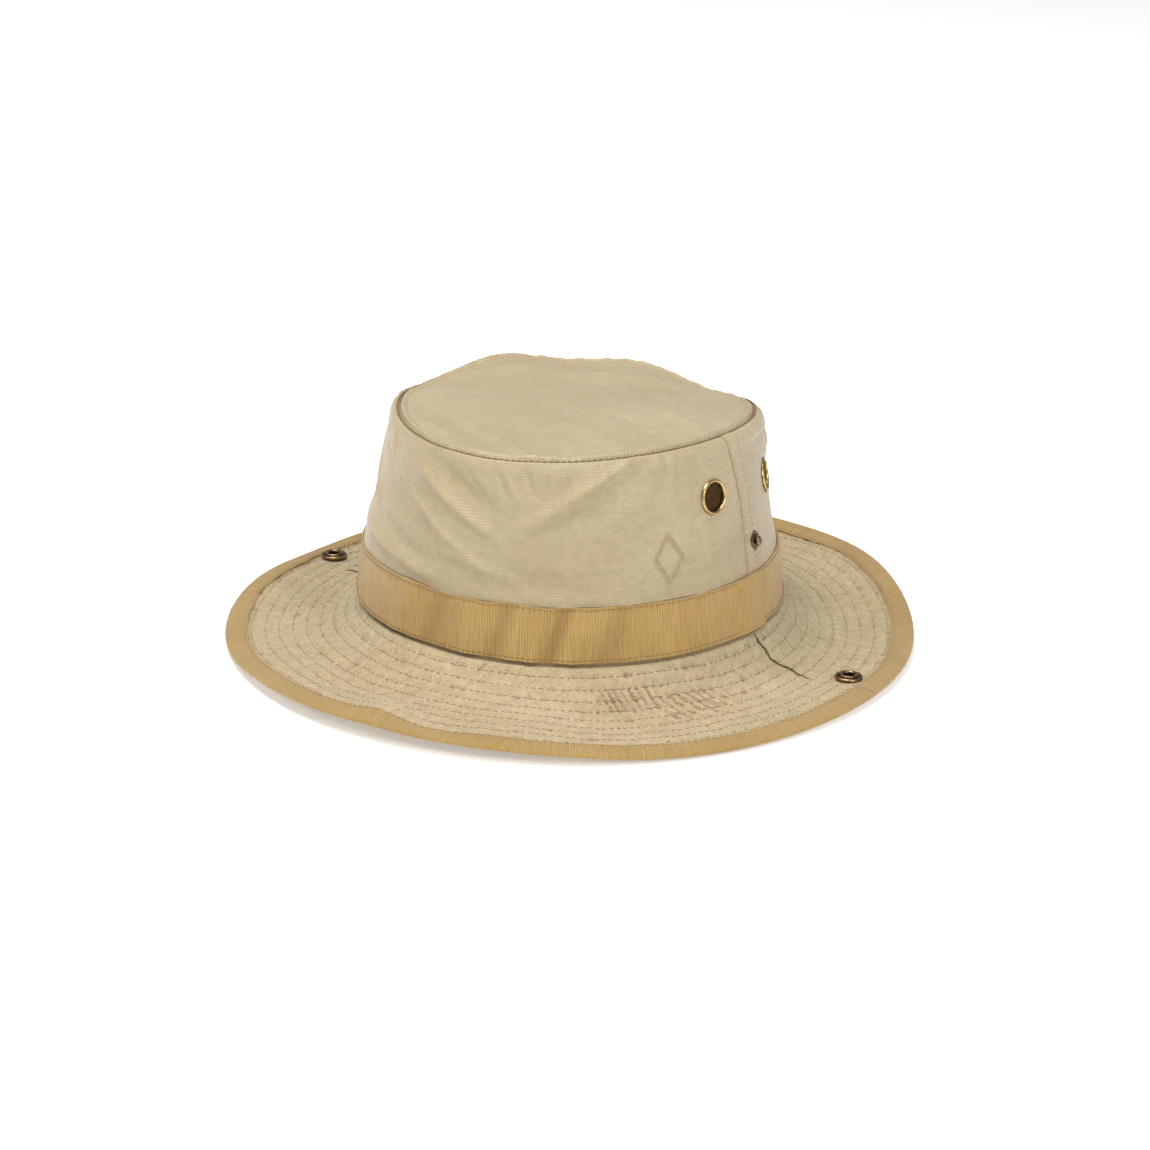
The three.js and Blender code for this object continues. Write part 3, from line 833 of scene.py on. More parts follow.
def grosgrain_material(name, light, dark, rib):
    """Ribbed ribbon: ribs across its length, and a faint melange."""
    material, tree, shader = new_material(name)
    u, v = cloth_axes(tree)
    ribs = waves(tree, u, rib)
    thin, long = calc(tree, "MULTIPLY", u, 0.9), calc(tree, "MULTIPLY", v, 0.08)
    stretched = add(tree, "ShaderNodeCombineXYZ", {0: thin, 1: long})
    streak = noise(tree, 1.0, 3.0, 0.6, stretched.outputs[0])
    yarn = waves(tree, v, 0.45)
    base = two_tones(tree, noise(tree, 30.0, 3.0), light, dark)
    base = mix(tree, spread(tree, streak, 0.36, 0.66, 0.0, 0.4), base, darker(dark, 0.78))
    # Painted shade: the colour darkens in the hollows between the ribs.
    valley = calc(tree, "POWER", calc(tree, "SUBTRACT", 1.0, ribs), 2.0)
    base = mix(tree, calc(tree, "MULTIPLY", valley, 0.34), base, darker(dark, 0.62))
    # Painted shade in sunken folds and under lifted edges, from the crease attribute.
    base = painted_crease_shade(tree, base, dark)
    rough = spread(tree, streak, 0.2, 0.8, 0.6, 0.8)
    height = calc(tree, "ADD", ribs, calc(tree, "MULTIPLY", yarn, 0.2))
    finish_cloth(tree, shader, base, rough, height, 0.00022, 0.25)
    return material


def thread_material(name, light, dark):
    material, tree, shader = new_material(name)
    base = mix(tree, noise(tree, 700.0, 2.0), colour(*dark), colour(*light))
    ply = noise(tree, 3000.0, 1.0)
    finish_cloth(tree, shader, base, spread(tree, ply, 0, 1, 0.5, 0.7), ply, 0.0001, 0.2)
    return material


def felt_material(name, light, dark, scale):
    material, tree, shader = new_material(name)
    base = two_tones(tree, noise(tree, scale), light, dark)
    fibre = noise(tree, scale * 25, 4.0, 0.7)
    finish_cloth(tree, shader, base, spread(tree, fibre, 0, 1, 0.75, 0.95), fibre, 0.0002, 0.1)
    return material


def twill_material(name, light, dark):
    """Soft cotton twill, for the sweatband."""
    material, tree, shader = new_material(name)
    u, v = cloth_axes(tree)
    lines = waves(tree, calc(tree, "ADD", u, calc(tree, "MULTIPLY", v, 1.2)), 0.9)
    base = two_tones(tree, noise(tree, 60.0), light, dark)
    base = mix(tree, calc(tree, "MULTIPLY", lines, 0.3), base, darker(dark, 0.75))
    finish_cloth(tree, shader, base, spread(tree, lines, 0, 1, 0.75, 0.9), lines, 0.0002, 0.2)
    return material


def brass_material(name, bright, dull):
    """Antiqued brass: rubbed bright on its edges and dark in its hollows."""
    material, tree, shader = new_material(name)
    wear = add(tree, "ShaderNodeAttribute", attribute_name="wear").outputs["Fac"]
    mottle = noise(tree, 700.0, 4.0, 0.6)
    tarnish = calc(tree, "ADD", wear, spread(tree, mottle, 0.3, 0.7, -0.25, 0.25))
    share = spread(tree, tarnish, 0.1, 0.9)
    base = mix(tree, share, colour(*dull), colour(*bright))
    scratch = noise(tree, 2500.0, 2.0)
    rough = spread(tree, share, 0, 1, 0.5, 0.26)
    bump = add(tree, "ShaderNodeBump", {"Height": scratch, "Distance": 0.00003})
    feed(tree, shader, {"Base Color": base, "Roughness": rough, "Normal": bump.outputs[0]})
    feed(tree, shader, {"Metallic": 1.0})
    return material


SHELL = ripstop_material("ripstop_khaki", (179, 162, 127), (169, 151, 114))
BRIM_CLOTH = ripstop_material(
    "ripstop_khaki_brim", (201, 181, 143), (188, 168, 127), 0.0004, 3.0, 0.22, 0.55
)
RIBBON = grosgrain_material("grosgrain_camel", (199, 165, 101), (183, 147, 83), 1.2)
BINDING = grosgrain_material("grosgrain_camel_binding", (175, 144, 84), (161, 129, 69), 1.2)
BRIM_THREAD = thread_material("thread_olive", (146, 122, 84), (116, 92, 58))
SEAM_THREAD = thread_material("thread_brown", (128, 100, 62), (92, 70, 42))
CROWN_THREAD = thread_material("thread_khaki", (166, 149, 114), (144, 126, 92))
CAMEL_THREAD = thread_material("thread_camel", (160, 122, 66), (122, 88, 42))
MOTIF_THREAD = thread_material("thread_sand", (180, 163, 128), (160, 142, 106))
SWEAT = twill_material("sweatband_twill", (160, 148, 120), (138, 126, 100))
CORE = felt_material("interlining_felt", (214, 208, 194), (196, 190, 176), 60.0)
LABEL = felt_material("woven_label", (226, 220, 206), (206, 198, 182), 120.0)
BRASS = brass_material("antique_brass", (202, 174, 118), (58, 45, 28))
DARK_BRASS = brass_material("aged_brass", (150, 124, 88), (34, 27, 20))
MESH_WIRE = brass_material("vent_wire", (104, 78, 48), (44, 31, 20))


# ---------------------------------------------------------------- crown


def in_root_frame(corner):
    return np.array(corner) / MM - np.array([0, 0, ROOT_HEIGHT])


def node_middle(name):
    low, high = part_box(name)
    return in_root_frame((low + high) / 2)


def wall_place(x, y, z):
    """The angle and rise of the smooth wall nearest a point."""
    theta = math.atan2(y / SHOULDER_HALF_LENGTH, x / SHOULDER_HALF_WIDTH)
    for _ in range(4):
        rise = float(wall_rise(theta, z))
        root = ROOT_HALF_LENGTH - WALL_INSET
        long = root + (SHOULDER_HALF_LENGTH - root) * rise
        root = ROOT_HALF_WIDTH - WALL_INSET
        wide = root + (SHOULDER_HALF_WIDTH - root) * rise
        theta = math.atan2(y / long, x / wide)
    return theta, rise


VENTS = {}
for vent_side, _ in SIDES:
    for vent_end in ("front", "rear"):
        vent_name = f"vent_{vent_side}_{vent_end}"
        VENTS[vent_name] = node_middle(vent_name + "_eyelet")

STUDS = {f"crown_snap_{label}": node_middle(f"crown_snap_{label}_stud") for label, _ in SIDES}


def near_hardware(points, radius):
    """1 close to an eyelet or stud, falling to 0 beyond the radius."""
    share = np.zeros(points.shape[:-1])
    for centre in (*VENTS.values(), *STUDS.values()):
        distance = np.linalg.norm(points - centre, axis=-1)
        share = np.maximum(share, 1 - smooth(radius * 0.7, radius * 1.5, distance))
    return share


def wall_surface(theta, rise, out=0.0):
    """The crown wall with its folds, kept smooth round the eyelets and studs."""
    theta, rise = np.broadcast_arrays(theta, rise)
    plain = wall_base(theta, rise)
    relief = wall_relief(theta, rise) * (1 - near_hardware(plain, 9.5))
    return wall_base(theta, rise, relief + out)


def wall_normal(theta, rise):
    small = 1e-3
    around = wall_base(theta + small, rise) - wall_base(theta - small, rise)
    upward = wall_base(theta, rise + small) - wall_base(theta, rise - small)
    normal = np.cross(around, upward)
    return normal / np.linalg.norm(normal, axis=-1, keepdims=True)


WALL_RISES = np.concatenate([np.linspace(0.006, 1, 70), np.linspace(1, 2, 17)[1:]])
PANEL_COLUMNS = 400
SEAM_FELL, SEAM_TUCK = 9.0, 4.0
SEAM_LINES = (1.2, SEAM_FELL - 0.9)
VENT_HOLE = 7.0


def wall_panel(name, start_side, end_side, lap):
    """One crown panel from seam to seam. A lapped panel is folded over at its seams; the
    other one runs on underneath."""
    rise = WALL_RISES[None, :]
    height = wall_travel(rise)
    share = np.linspace(0, 1, PANEL_COLUMNS)
    first, last = side_seam(height, start_side), side_seam(height, end_side)
    if lap:
        share = share - 0.35 * np.sin(TAU * share) / TAU
    if first.mean() > last.mean():
        last = last + TAU
    if not lap:
        reach = SEAM_TUCK / WALL_RADIUS
        first, last = first - reach, last + reach
    theta = first + (last - first) * share[:, None]
    rises = np.broadcast_to(rise, theta.shape)
    from_start = (theta - first) * WALL_RADIUS
    from_end = (last - theta) * WALL_RADIUS
    edge = np.minimum(from_start, from_end)
    if lap:
        out = 0.3 * (1 - smooth(SEAM_FELL - 0.4, SEAM_FELL + 0.8, edge))
        for line in SEAM_LINES:
            out = out - 0.16 * bell(edge - line, 0.5)
    else:
        out = -0.4 * (1 - smooth(SEAM_TUCK - 1.6, SEAM_TUCK + 0.8, edge))
    seam_dip = -1.3 * smooth(1.72, 2.0, rises)
    outer = wall_surface(theta, rises, out + seam_dip)
    inner = wall_surface(theta, rises, out + seam_dip - CLOTH)
    uv = points_at(theta * WALL_RADIUS, height)
    centre = (outer[:-1, :-1] + outer[1:, 1:] + outer[1:, :-1] + outer[:-1, 1:]) / 4
    keep = np.ones(centre.shape[:2], bool)
    for middle in VENTS.values():
        keep &= np.linalg.norm(centre - middle, axis=-1) > VENT_HOLE
    piece = make_shell(name, outer, inner, SHELL, uv, keep)
    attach(piece, BODY)
    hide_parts(name)


def disc_grid(count):
    """A square grid mapped to the unit disc, finer towards the rim."""
    share = np.linspace(-1, 1, count)
    share = 0.62 * share + 0.38 * np.sin(share * math.pi / 2)
    x, y = np.meshgrid(share, share, indexing="ij")
    u, v = x * np.sqrt(1 - y * y / 2), y * np.sqrt(1 - x * x / 2)
    return np.arctan2(v, u), np.minimum(np.hypot(u, v), 1.0)


TIP_FOLDS = (
    # start and end in millimetres from the middle, then half width and height
    ((-50, -58), (-18, -74), 3.4, 0.8),
    ((-40, -48), (4, -76), 4.0, -0.7),
    ((-14, -58), (24, -78), 2.6, 0.7),
    ((-4, -48), (38, -70), 4.0, -0.6),
    ((-66, -20), (-44, -62), 4.4, -0.6),
    ((-70, 6), (-60, -36), 3.6, 0.6),
    ((10, -30), (52, -48), 5.0, 0.6),
    ((24, -6), (66, -30), 4.4, -0.6),
    ((30, 14), (70, -6), 4.0, 0.6),
    ((-40, 40), (10, 70), 6.0, 0.8),
    ((-20, 30), (20, 62), 5.0, -0.7),
    ((20, 30), (50, 60), 6.0, -0.7),
    ((-66, 10), (-40, 50), 5.0, 0.7),
    ((-30, -20), (10, -40), 7.0, 0.5),
)


def tip_height(theta, share):
    """The top panel's height; share is 0 in the middle and 1 at the seam."""
    x, y = SEAM_HALF_WIDTH * share * np.cos(theta), SEAM_HALF_LENGTH * share * np.sin(theta)
    height = CROWN_HEIGHT + SIDE_RISE * share**2 * np.cos(2 * theta)
    height = height - REAR_DROP * share * np.sin(theta) + TIP_DOME * (1 - share**2)
    height = height + rim_lift(theta) * share**2.6
    for start, end, width, size in TIP_FOLDS:
        height = height + TIP_FOLD_SHARE * ridge(x, y, start, end, width, size)
    height = height + 0.5 * wave_noise(x, y, 21, 5, 5, 190, 190) * (1 - share**6)
    for size, seed, cells in ((0.3, 22, 22), (0.12, 24, 60)):
        height = height + size * wave_noise(x, y, seed, cells, cells, 190, 190)
    pucker = smooth(0.86, 0.96, share) * (1 - smooth(0.985, 1.0, share))
    height = height + 0.35 * pucker * round_noise(theta, share, 23, 110, 3)
    edge = (1 - share) * SEAM_HALF_LENGTH
    sewn = 0.9 * bell(edge - 1.9, 1.2)
    return height + sewn - 1.5 * bell(edge, 0.85) - 0.2 * bell(edge - TOP_STITCH_INSET, 0.8)


TIP_CELLS, TIP_GAP = 171, 0.25


def make_tip():
    theta, share = disc_grid(TIP_CELLS)
    x = (SEAM_HALF_WIDTH - TIP_GAP) * share * np.cos(theta)
    y = (SEAM_HALF_LENGTH - TIP_GAP) * share * np.sin(theta)
    z = tip_height(theta, share)
    uv = points_at(x * 0.97 + y * 0.24, y * 0.97 - x * 0.24)
    outer, inner = points_at(x, y, z), points_at(x, y, z - CLOTH)
    piece = make_shell("crown_tip", outer, inner, SHELL, uv)
    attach(piece, BODY)
    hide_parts("crown_tip")


TOP_STITCH_INSET = 4.2


def tip_stitches():
    """A row of topstitching inside the tip's edge, and the darker seam itself."""
    theta = np.linspace(0, TAU, 1500)
    share = np.full_like(theta, 1 - TOP_STITCH_INSET / SEAM_HALF_LENGTH)
    path = points_at(
        SEAM_HALF_WIDTH * share * np.cos(theta),
        SEAM_HALF_LENGTH * share * np.sin(theta),
        tip_height(theta, share) + 0.05,
    )
    upright = np.tile([0.0, 0.0, 1.0], (len(theta), 1))
    rows = [thread_row(path, upright, 2.2, 2.9, 0.17)]
    piece = make_threads("crown_top_stitches", rows, CROWN_THREAD)
    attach(piece, BODY)
    rise = np.full_like(theta, 1.9)
    at, up = wall_surface(theta, rise, -0.45), wall_normal(theta, rise)
    rows = [thread_row(at, up, 2.5, 2.65, 0.34)]
    piece = make_threads("crown_seam_stitches", rows, SEAM_THREAD)
    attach(piece, BODY)


def side_stitches():
    """Two rows of stitching along each side seam of the crown."""
    rows = []
    rise = np.concatenate([np.linspace(0.33, 1, 240), np.linspace(1, 1.7, 40)])
    for _, side in SIDES:
        for offset in SEAM_LINES:
            theta = side_seam(wall_travel(rise), side) + side * offset / WALL_RADIUS
            path = wall_surface(theta, rise, 0.2)
            rows.append(thread_row(path, wall_normal(theta, rise), 2.2, 2.9, 0.2))
    piece = make_threads("side_seam_stitches", rows, CROWN_THREAD)
    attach(piece, BODY)


MOTIF_ANGLE, MOTIF_HEIGHT, MOTIF_RADIUS = -30.0, 43.0, 84.0
MOTIF_LINES = (
    # half width and half height of the diamond, length of its stitches
    (6.5, 11.0, 2.7),
    (5.2, 8.8, 1.2),
)


def make_motif():
    """A small satin-stitched diamond outline on the front, towards the wearer's left."""
    rows = []
    for half_width, half_height, length in MOTIF_LINES:
        for side_x in (-1, 1):
            share = np.arange(-1, 1.0001, 0.52 / half_height)
            across = side_x * half_width * (1 - np.abs(share))
            theta = math.radians(MOTIF_ANGLE) + across / MOTIF_RADIUS
            rise = wall_rise(theta, MOTIF_HEIGHT + share * half_height)
            at = wall_surface(theta, rise, 0.08)
            up = wall_normal(theta, rise)
            around = wall_surface(theta + 0.01, rise, 0.08) - at
            along = around / np.linalg.norm(around, axis=1, keepdims=True)
            along = along + np.array([0, 0, 0.25 * side_x])
            rows.append(plump_stitches(at, along, up, length, 0.27, 4))
    piece = make_threads("front_motif", rows, MOTIF_THREAD)
    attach(piece, BODY)


# ---------------------------------------------------------------- ribbon and sweatband


RIBBON_LAP, RIBBON_OVERLAP = -3.5, 9.0
RIBBON_THICK, RIBBON_RADIUS = 0.55, 92.0
RIBBON_FOLDS = (
    # angle, half width in degrees, height
    (-84.0, 3.2, 0.6),
    (-77.5, 3.0, -0.7),
    (-71.0, 2.8, 0.5),
    (-66.5, 2.2, 0.7),
    (-62.0, 2.2, -0.9),
    (-55.0, 3.4, 0.6),
    (-46.0, 3.6, -0.5),
    (-30.0, 4.0, 0.4),
    (-97.0, 3.0, -0.5),
    (-110.0, 3.0, 0.4),
    (-140.0, 4.0, -0.5),
    (40.0, 3.0, 0.5),
    (100.0, 3.0, -0.5),
    (150.0, 3.0, 0.5),
)


def ribbon_folds(theta, height):
    """Slanting folds of the ribbon, positive where it stands out."""
    degrees = np.degrees(theta)
    folds = np.zeros(np.broadcast(theta, height).shape)
    for centre, width, size in RIBBON_FOLDS:
        lean = turn_between(degrees, centre) - (height - 12) * 0.22
        folds = folds + RIBBON_FOLD_SHARE * size * bell(lean, width)
    return folds


def ribbon_out(theta, height):
    """How far the ribbon stands off the wall."""
    out = 0.75 + 0.25 * round_noise(theta, height, 41, 40, 2, 80)
    out = out + 0.12 * round_noise(theta, height, 42, 160, 3, 80)
    out = out + ribbon_folds(theta, height)
    hem = smooth(2.4, 1.2, height) + smooth(BAND_HEIGHT - 2.6, BAND_HEIGHT - 1.4, height)
    out = 0.45 + np.logaddexp(0, 4 * (out - 0.45)) / 4
    return out - 0.2 * hem + 0.5 * bell(height, 1.6) + 0.3 * bell(height - BAND_HEIGHT, 0.8)


RIBBON_FOOT = 0.6


def ribbon_top(theta):
    wave = 0.55 * round_noise(theta, 0.0, 43, 34, 1) + 0.25 * round_noise(theta, 0.0, 44, 110, 1)
    return BAND_HEIGHT + wave


def ribbon_surface(theta, share, extra):
    """Points of the ribbon, share 0 at its lower edge and 1 at its upper, and their heights."""
    height = RIBBON_FOOT + (ribbon_top(theta) - RIBBON_FOOT) * share
    rise = wall_rise(theta, height)
    out = ribbon_out(theta, height) + extra
    relief = wall_relief(theta, rise)
    return wall_base(theta, rise, relief + out), height


def make_ribbon():
    """A strip once round the crown, whose folded end laps over its start."""
    start = math.radians(RIBBON_LAP)
    end = start + TAU + math.radians(RIBBON_OVERLAP)
    theta = np.linspace(start, end, 1150)[:, None]
    share = np.linspace(0, 1, 26)[None, :]
    theta, share = np.broadcast_arrays(theta, share)
    turned = (theta - start) / TAU
    over = smooth(0.985, 1.0, turned) * 0.95
    last = (end - theta) * RIBBON_RADIUS
    fold = 0.3 * (1 - smooth(1.5, 3.5, last))
    outer, height = ribbon_surface(theta, share, over + fold)
    inner, _ = ribbon_surface(theta, share, over + fold - RIBBON_THICK)
    uv = points_at(theta * RIBBON_RADIUS, height)
    # Painted shade: the ribbon's colour darkens in its sunken folds.
    shade = 0.42 * smooth(0.3, -1.2, ribbon_folds(theta, height))
    piece = make_shell("hat_band", outer, inner, RIBBON, uv, crease=shade)
    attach(piece, BODY)
    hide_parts("hat_band")
    rows = []
    theta = np.linspace(start, start + TAU, 3000)
    for share in (0.055, 0.955):
        path, _ = ribbon_surface(theta, np.full_like(theta, share), 0.05)
        normal = wall_normal(theta, np.full_like(theta, 0.15))
        rows.append(thread_row(path, normal, 2.2, 2.45, 0.3))
    piece = make_threads("hat_band_stitches", rows, CAMEL_THREAD)
    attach(piece, BODY)


SWEAT_FOOT, SWEAT_HEIGHT, SWEAT_THICK = 0.6, 26.5, 0.9
SWEAT_ROWS = (2.4, 25.2)


def make_sweatband():
    """An open strip inside the crown, whose ends meet at the rear."""
    theta = np.linspace(0, TAU, 700)[:-1, None] + math.pi / 2 + 0.004
    share = np.linspace(0, 1, 18)[None, :]
    theta, share = np.broadcast_arrays(theta, share)
    height = SWEAT_FOOT + SWEAT_HEIGHT * share
    rise = wall_rise(theta, height)
    out = -1.5 - 0.25 * round_noise(theta, height, 51, 40, 3, 60)
    out = out + 0.3 * bell(share - 1, 0.1) - 0.35 * bell(share, 0.12)
    outer = wall_base(theta, rise, out)
    inner = wall_base(theta, rise, out - SWEAT_THICK - 0.25 * np.sin(math.pi * share))
    uv = points_at(theta * WALL_RADIUS, height)
    piece = make_shell("sweatband", outer, inner, SWEAT, uv)
    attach(piece, BODY)
    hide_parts("sweatband")
    rows = []
    theta = np.linspace(0, TAU, 1200)
    for height in SWEAT_ROWS:
        rise = wall_rise(theta, height)
        path = wall_base(theta, rise, np.full_like(theta, -2.72))
        rows.append(thread_row(path, -wall_normal(theta, rise), 2.4, 3.2, 0.2, 4))
    piece = make_threads("sweatband_stitches", rows, CROWN_THREAD)
    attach(piece, BODY)


def make_label():
    """The blank size label, sewn down along its four edges."""
    low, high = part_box("size_label")
    low, high = in_root_frame(low), in_root_frame(high)
    u, v = np.meshgrid(np.linspace(-1, 1, 60), np.linspace(-1, 1, 40), indexing="ij")
    x = u * (high[0] - low[0]) / 2
    z = (low[2] + high[2]) / 2 + v * (high[2] - low[2]) / 2
    theta = np.arctan2(90.0, x * 90 / 86)
    rise = wall_rise(math.pi / 2, z)
    sewn = smooth(0.86, 0.98, np.maximum(np.abs(u), np.abs(v)))
    back = -3.05 - 0.5 * (1 - sewn) - 0.12 * np.sin(u * 5 + v * 3)
    faces = []
    for extra in (0.0, -0.4):
        face = wall_base(theta, rise, back + extra)
        face[..., 0] = x
        faces.append(face)
    piece = make_shell("size_label", faces[0], faces[1], LABEL, points_at(x, z))
    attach(piece, BODY)
    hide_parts("size_label")


# ---------------------------------------------------------------- brim

# Lifts of the layers' faces from the brim's upper face.
UPPER_TOP, CORE_TOP, CORE_BOTTOM, UNDER_TOP, UNDER_BOTTOM = 0.0, -1.0, -1.7, -2.0, -2.5


def developed(theta, run):
    """The brim's cloth laid flat, for its weave."""
    radius = MEAN_RADIUS + run
    return points_at(radius * np.cos(theta), radius * np.sin(theta))


def sewn_relief(seed):
    """The relief of one brim cloth, smooth under the binding and round the sockets."""
    theta, run = BRIM_GRID
    flat = brim_point(theta, run, 0.0)
    field = brim_relief(seed) * (1 - smooth(BRIM_WIDTH - 8.5, BRIM_WIDTH - 4, run))
    for label, _ in SIDES:
        middle = node_middle(f"brim_snap_{label}_socket")
        distance = np.linalg.norm(flat[..., :2] - middle[:2], axis=-1)
        field = field * smooth(5.5, 8.5, distance)
    return field


BRIM_GRID = np.broadcast_arrays(BRIM_THETA[:, None], BRIM_RUN[None, :])
BRIM_UPPER, BRIM_UNDER = sewn_relief(60), sewn_relief(80)


def painted_shade_grid(field):
    """Painted shade for the brim cloth's colour: darker in its creases and in the shadow of the
    binding's edge.
    """
    theta = BRIM_THETA[:, None]
    from_edge = BRIM_RUN[None, :] - binding_edge(theta, True) + 0.4
    loose = 0.3 + 0.6 * sector(np.degrees(theta), 178.0, 36.0)
    return np.maximum(0.72 * smooth(-0.28, -0.85, field), loose * bell(from_edge, 0.75))


def make_brim():
    theta, run = BRIM_GRID
    uv = developed(theta, run)
    top = brim_point(theta, run, UPPER_TOP + BRIM_UPPER)
    back = brim_point(theta, run, UPPER_TOP - 0.6 + BRIM_UPPER * 0.5)
    # The brim cloths carry painted shade in their creases and under the binding's edge.
    split_ring("brim_upper", top, back, BRIM_CLOTH, uv, painted_shade_grid(BRIM_UPPER))
    top = brim_point(theta, run, UNDER_TOP - BRIM_UNDER * 0.5)
    back = brim_point(theta, run, UNDER_BOTTOM - BRIM_UNDER)
    split_ring("brim_under", top, back, BRIM_CLOTH, uv, painted_shade_grid(BRIM_UNDER))
    columns = slice(None, None, 4)
    rows = slice(8, None, 3)
    theta, run, uv = theta[columns, rows], run[columns, rows], uv[columns, rows]
    top = brim_point(theta, run, CORE_TOP)
    back = brim_point(theta, run, CORE_BOTTOM)
    split_ring("brim_interlining", top, back, CORE, uv)


def half_turn(side, count):
    """Angles along one side's half of the brim, which stop just short of its ends."""
    centre = 0.0 if side > 0 else math.pi
    return np.linspace(centre - math.pi / 2 + 0.004, centre + math.pi / 2 - 0.004, count)


def brim_rows(side, upper):
    """The rows of stitching over one side's half of the brim."""
    theta = half_turn(side, 900)
    rows = []
    for k in range(ROW_COUNT):
        run = FIRST_ROW + k * ROW_PITCH - row_wobble(theta)
        if upper:
            lift, sign = UPPER_TOP + sample(BRIM_UPPER, theta, run) + 0.03, 1
        else:
            lift, sign = UNDER_BOTTOM - sample(BRIM_UNDER, theta, run) - 0.03, -1
        path = brim_point(theta, run, lift)
        normal = (brim_point(theta, run, lift + 1.0) - path) * sign
        corners = 5 if upper else 4
        rows.append(thread_row(path, normal, 2.5, 3.1, 0.19, corners))
    return rows


BINDING_THICK = 0.55
BINDING_FLAT, BINDING_GIRTH = 0.42, 24.0
EDGE_RADIUS = 158.0


def binding_edge(theta, upper):
    """Where the binding's inner edge runs, wandering a little as it was sewn."""
    seed = 91 if upper else 93
    wander = 0.5 * round_noise(theta, 0.0, seed, 40, 1)
    wander = wander + 0.25 * round_noise(theta, 0.0, seed + 1, 170, 1)
    degrees = np.degrees(theta)
    rough = sector(degrees, 172.0, 34.0) + 0.35 * sector(degrees, 30.0, 30.0)
    ticks = 1.1 * np.maximum(round_noise(theta, 0.0, seed + 2, 210, 1) - 0.35, 0)
    return BRIM_WIDTH - BINDING_COVER + wander - ticks * rough


def binding_section(theta, share, inset):
    """The binding's U section: share 0 is its upper inner edge and 1 the lower one. Each leg
    takes a share of BINDING_FLAT, and the turn round the edge takes the rest."""
    half = (BINDING_TOP - BINDING_BOTTOM) / 2 - inset
    middle = (BINDING_TOP + BINDING_BOTTOM) / 2
    outer_run = BRIM_WIDTH - half * 0.9 - inset * 0.4
    top = np.clip(share / BINDING_FLAT, 0, 1)
    bottom = np.clip((1 - share) / BINDING_FLAT, 0, 1)
    turn = np.clip((share - BINDING_FLAT) / (1 - 2 * BINDING_FLAT), 0, 1) * math.pi
    upper, lower = binding_edge(theta, True), binding_edge(theta, False)
    run_upper = upper + (outer_run - upper) * top
    run_lower = lower + (outer_run - lower) * bottom
    run = np.where(share < 0.5, run_upper, run_lower) + half * 0.9 * np.sin(turn)
    lift = middle + half * np.cos(turn)
    swell = round_noise(theta, share, 97, 90, 3)
    stand = np.where(share < 0.5, 1 - smooth(0.0, 0.5, top), -(1 - smooth(0.0, 0.5, bottom)))
    lift = lift + 0.16 * swell * np.cos(turn)
    lift = lift - 0.28 * stand * (1 + 0.8 * round_noise(theta, 0.0, 98, 150, 1))
    return run, lift


def make_binding():
    theta = (np.arange(1320) * TAU / 1320)[:, None]
    leg = np.linspace(0, BINDING_FLAT, 13)
    turn = np.linspace(BINDING_FLAT, 1 - BINDING_FLAT, 12)[1:-1]
    share = np.concatenate([leg, turn, np.linspace(1 - BINDING_FLAT, 1, 13)])
    theta, share = np.broadcast_arrays(theta, share[None, :])
    run, lift = binding_section(theta, share, 0.0)
    outer = brim_point(theta, run, lift)
    inner = brim_point(theta, *binding_section(theta, share, BINDING_THICK))
    uv = points_at(theta * EDGE_RADIUS, share * BINDING_GIRTH)
    split_ring("brim_binding", outer, inner, BINDING, uv)


def binding_rows(side):
    theta = half_turn(side, 1100)
    rows = []
    for share, sign in ((0.065, 1), (0.935, -1)):
        run, lift = binding_section(theta, np.full_like(theta, share), 0.0)
        path = brim_point(theta, run, lift + 0.04 * sign)
        normal = (brim_point(theta, run, lift + 1.0) - path) * sign
        rows.append(thread_row(path, normal, 2.3, 2.9, 0.19, 5 if sign > 0 else 4))
    return rows


def make_brim_threads():
    for label, side in SIDES:
        for upper, where in ((True, "upper"), (False, "under")):
            rows = brim_rows(side, upper)
            piece = make_threads(f"brim_{where}_stitches_{label}", rows, BRIM_THREAD)
            bend_with_brim(piece)
        rows = binding_rows(side)
        piece = make_threads(f"binding_stitches_{label}", rows, CAMEL_THREAD)
        bend_with_brim(piece)


SIDE_SEAM_START, SIDE_SEAM_END = 2.0, 38.0


def make_brim_seams():
    """The seam that joins the brim's front and rear cloth at each side, one edge lifted."""
    for label, side in SIDES:
        run = np.linspace(SIDE_SEAM_START, SIDE_SEAM_END, 150)[:, None]
        across = np.linspace(0, 1, 12)[None, :]
        wander = 1.9 * np.sin(run * 0.42 + 0.6) + 1.1 * np.sin(run * 0.95)
        radius = brim_radius(run)
        wide = 3.6 - 1.4 * smooth(26, 38, run)
        shift = (-wander * smooth(0, 8, run) * 0.5 - 1.0 + across * wide) / radius
        theta = shift if side > 0 else math.pi - shift
        lift = UPPER_TOP + sample(BRIM_UPPER, theta, run)
        raised = 0.85 * (1 - smooth(0.0, 0.45, across)) * (1 - 0.8 * smooth(26, 38, run))
        sunk = 0.35 * smooth(0.75, 1.0, across)
        ends = 0.3 * bell(run - SIDE_SEAM_START, 2.0) + 0.5 * bell(run - SIDE_SEAM_END, 2.5)
        outer = brim_point(theta, run, lift + 0.18 + raised - sunk - ends)
        inner = brim_point(theta, run, lift - 0.3 + raised * 0.7 - sunk - ends)
        # Painted shade: the seam strip's colour darkens along its lifted edge.
        edge = 1 - smooth(0.02, 0.16, across)
        uv = developed(theta, run)
        name = f"brim_side_seam_{label}"
        edge = np.broadcast_to(edge, theta.shape)
        piece = make_shell(name, outer, inner, BRIM_CLOTH, uv, crease=edge)
        bend_with_brim(piece)


# ---------------------------------------------------------------- hardware


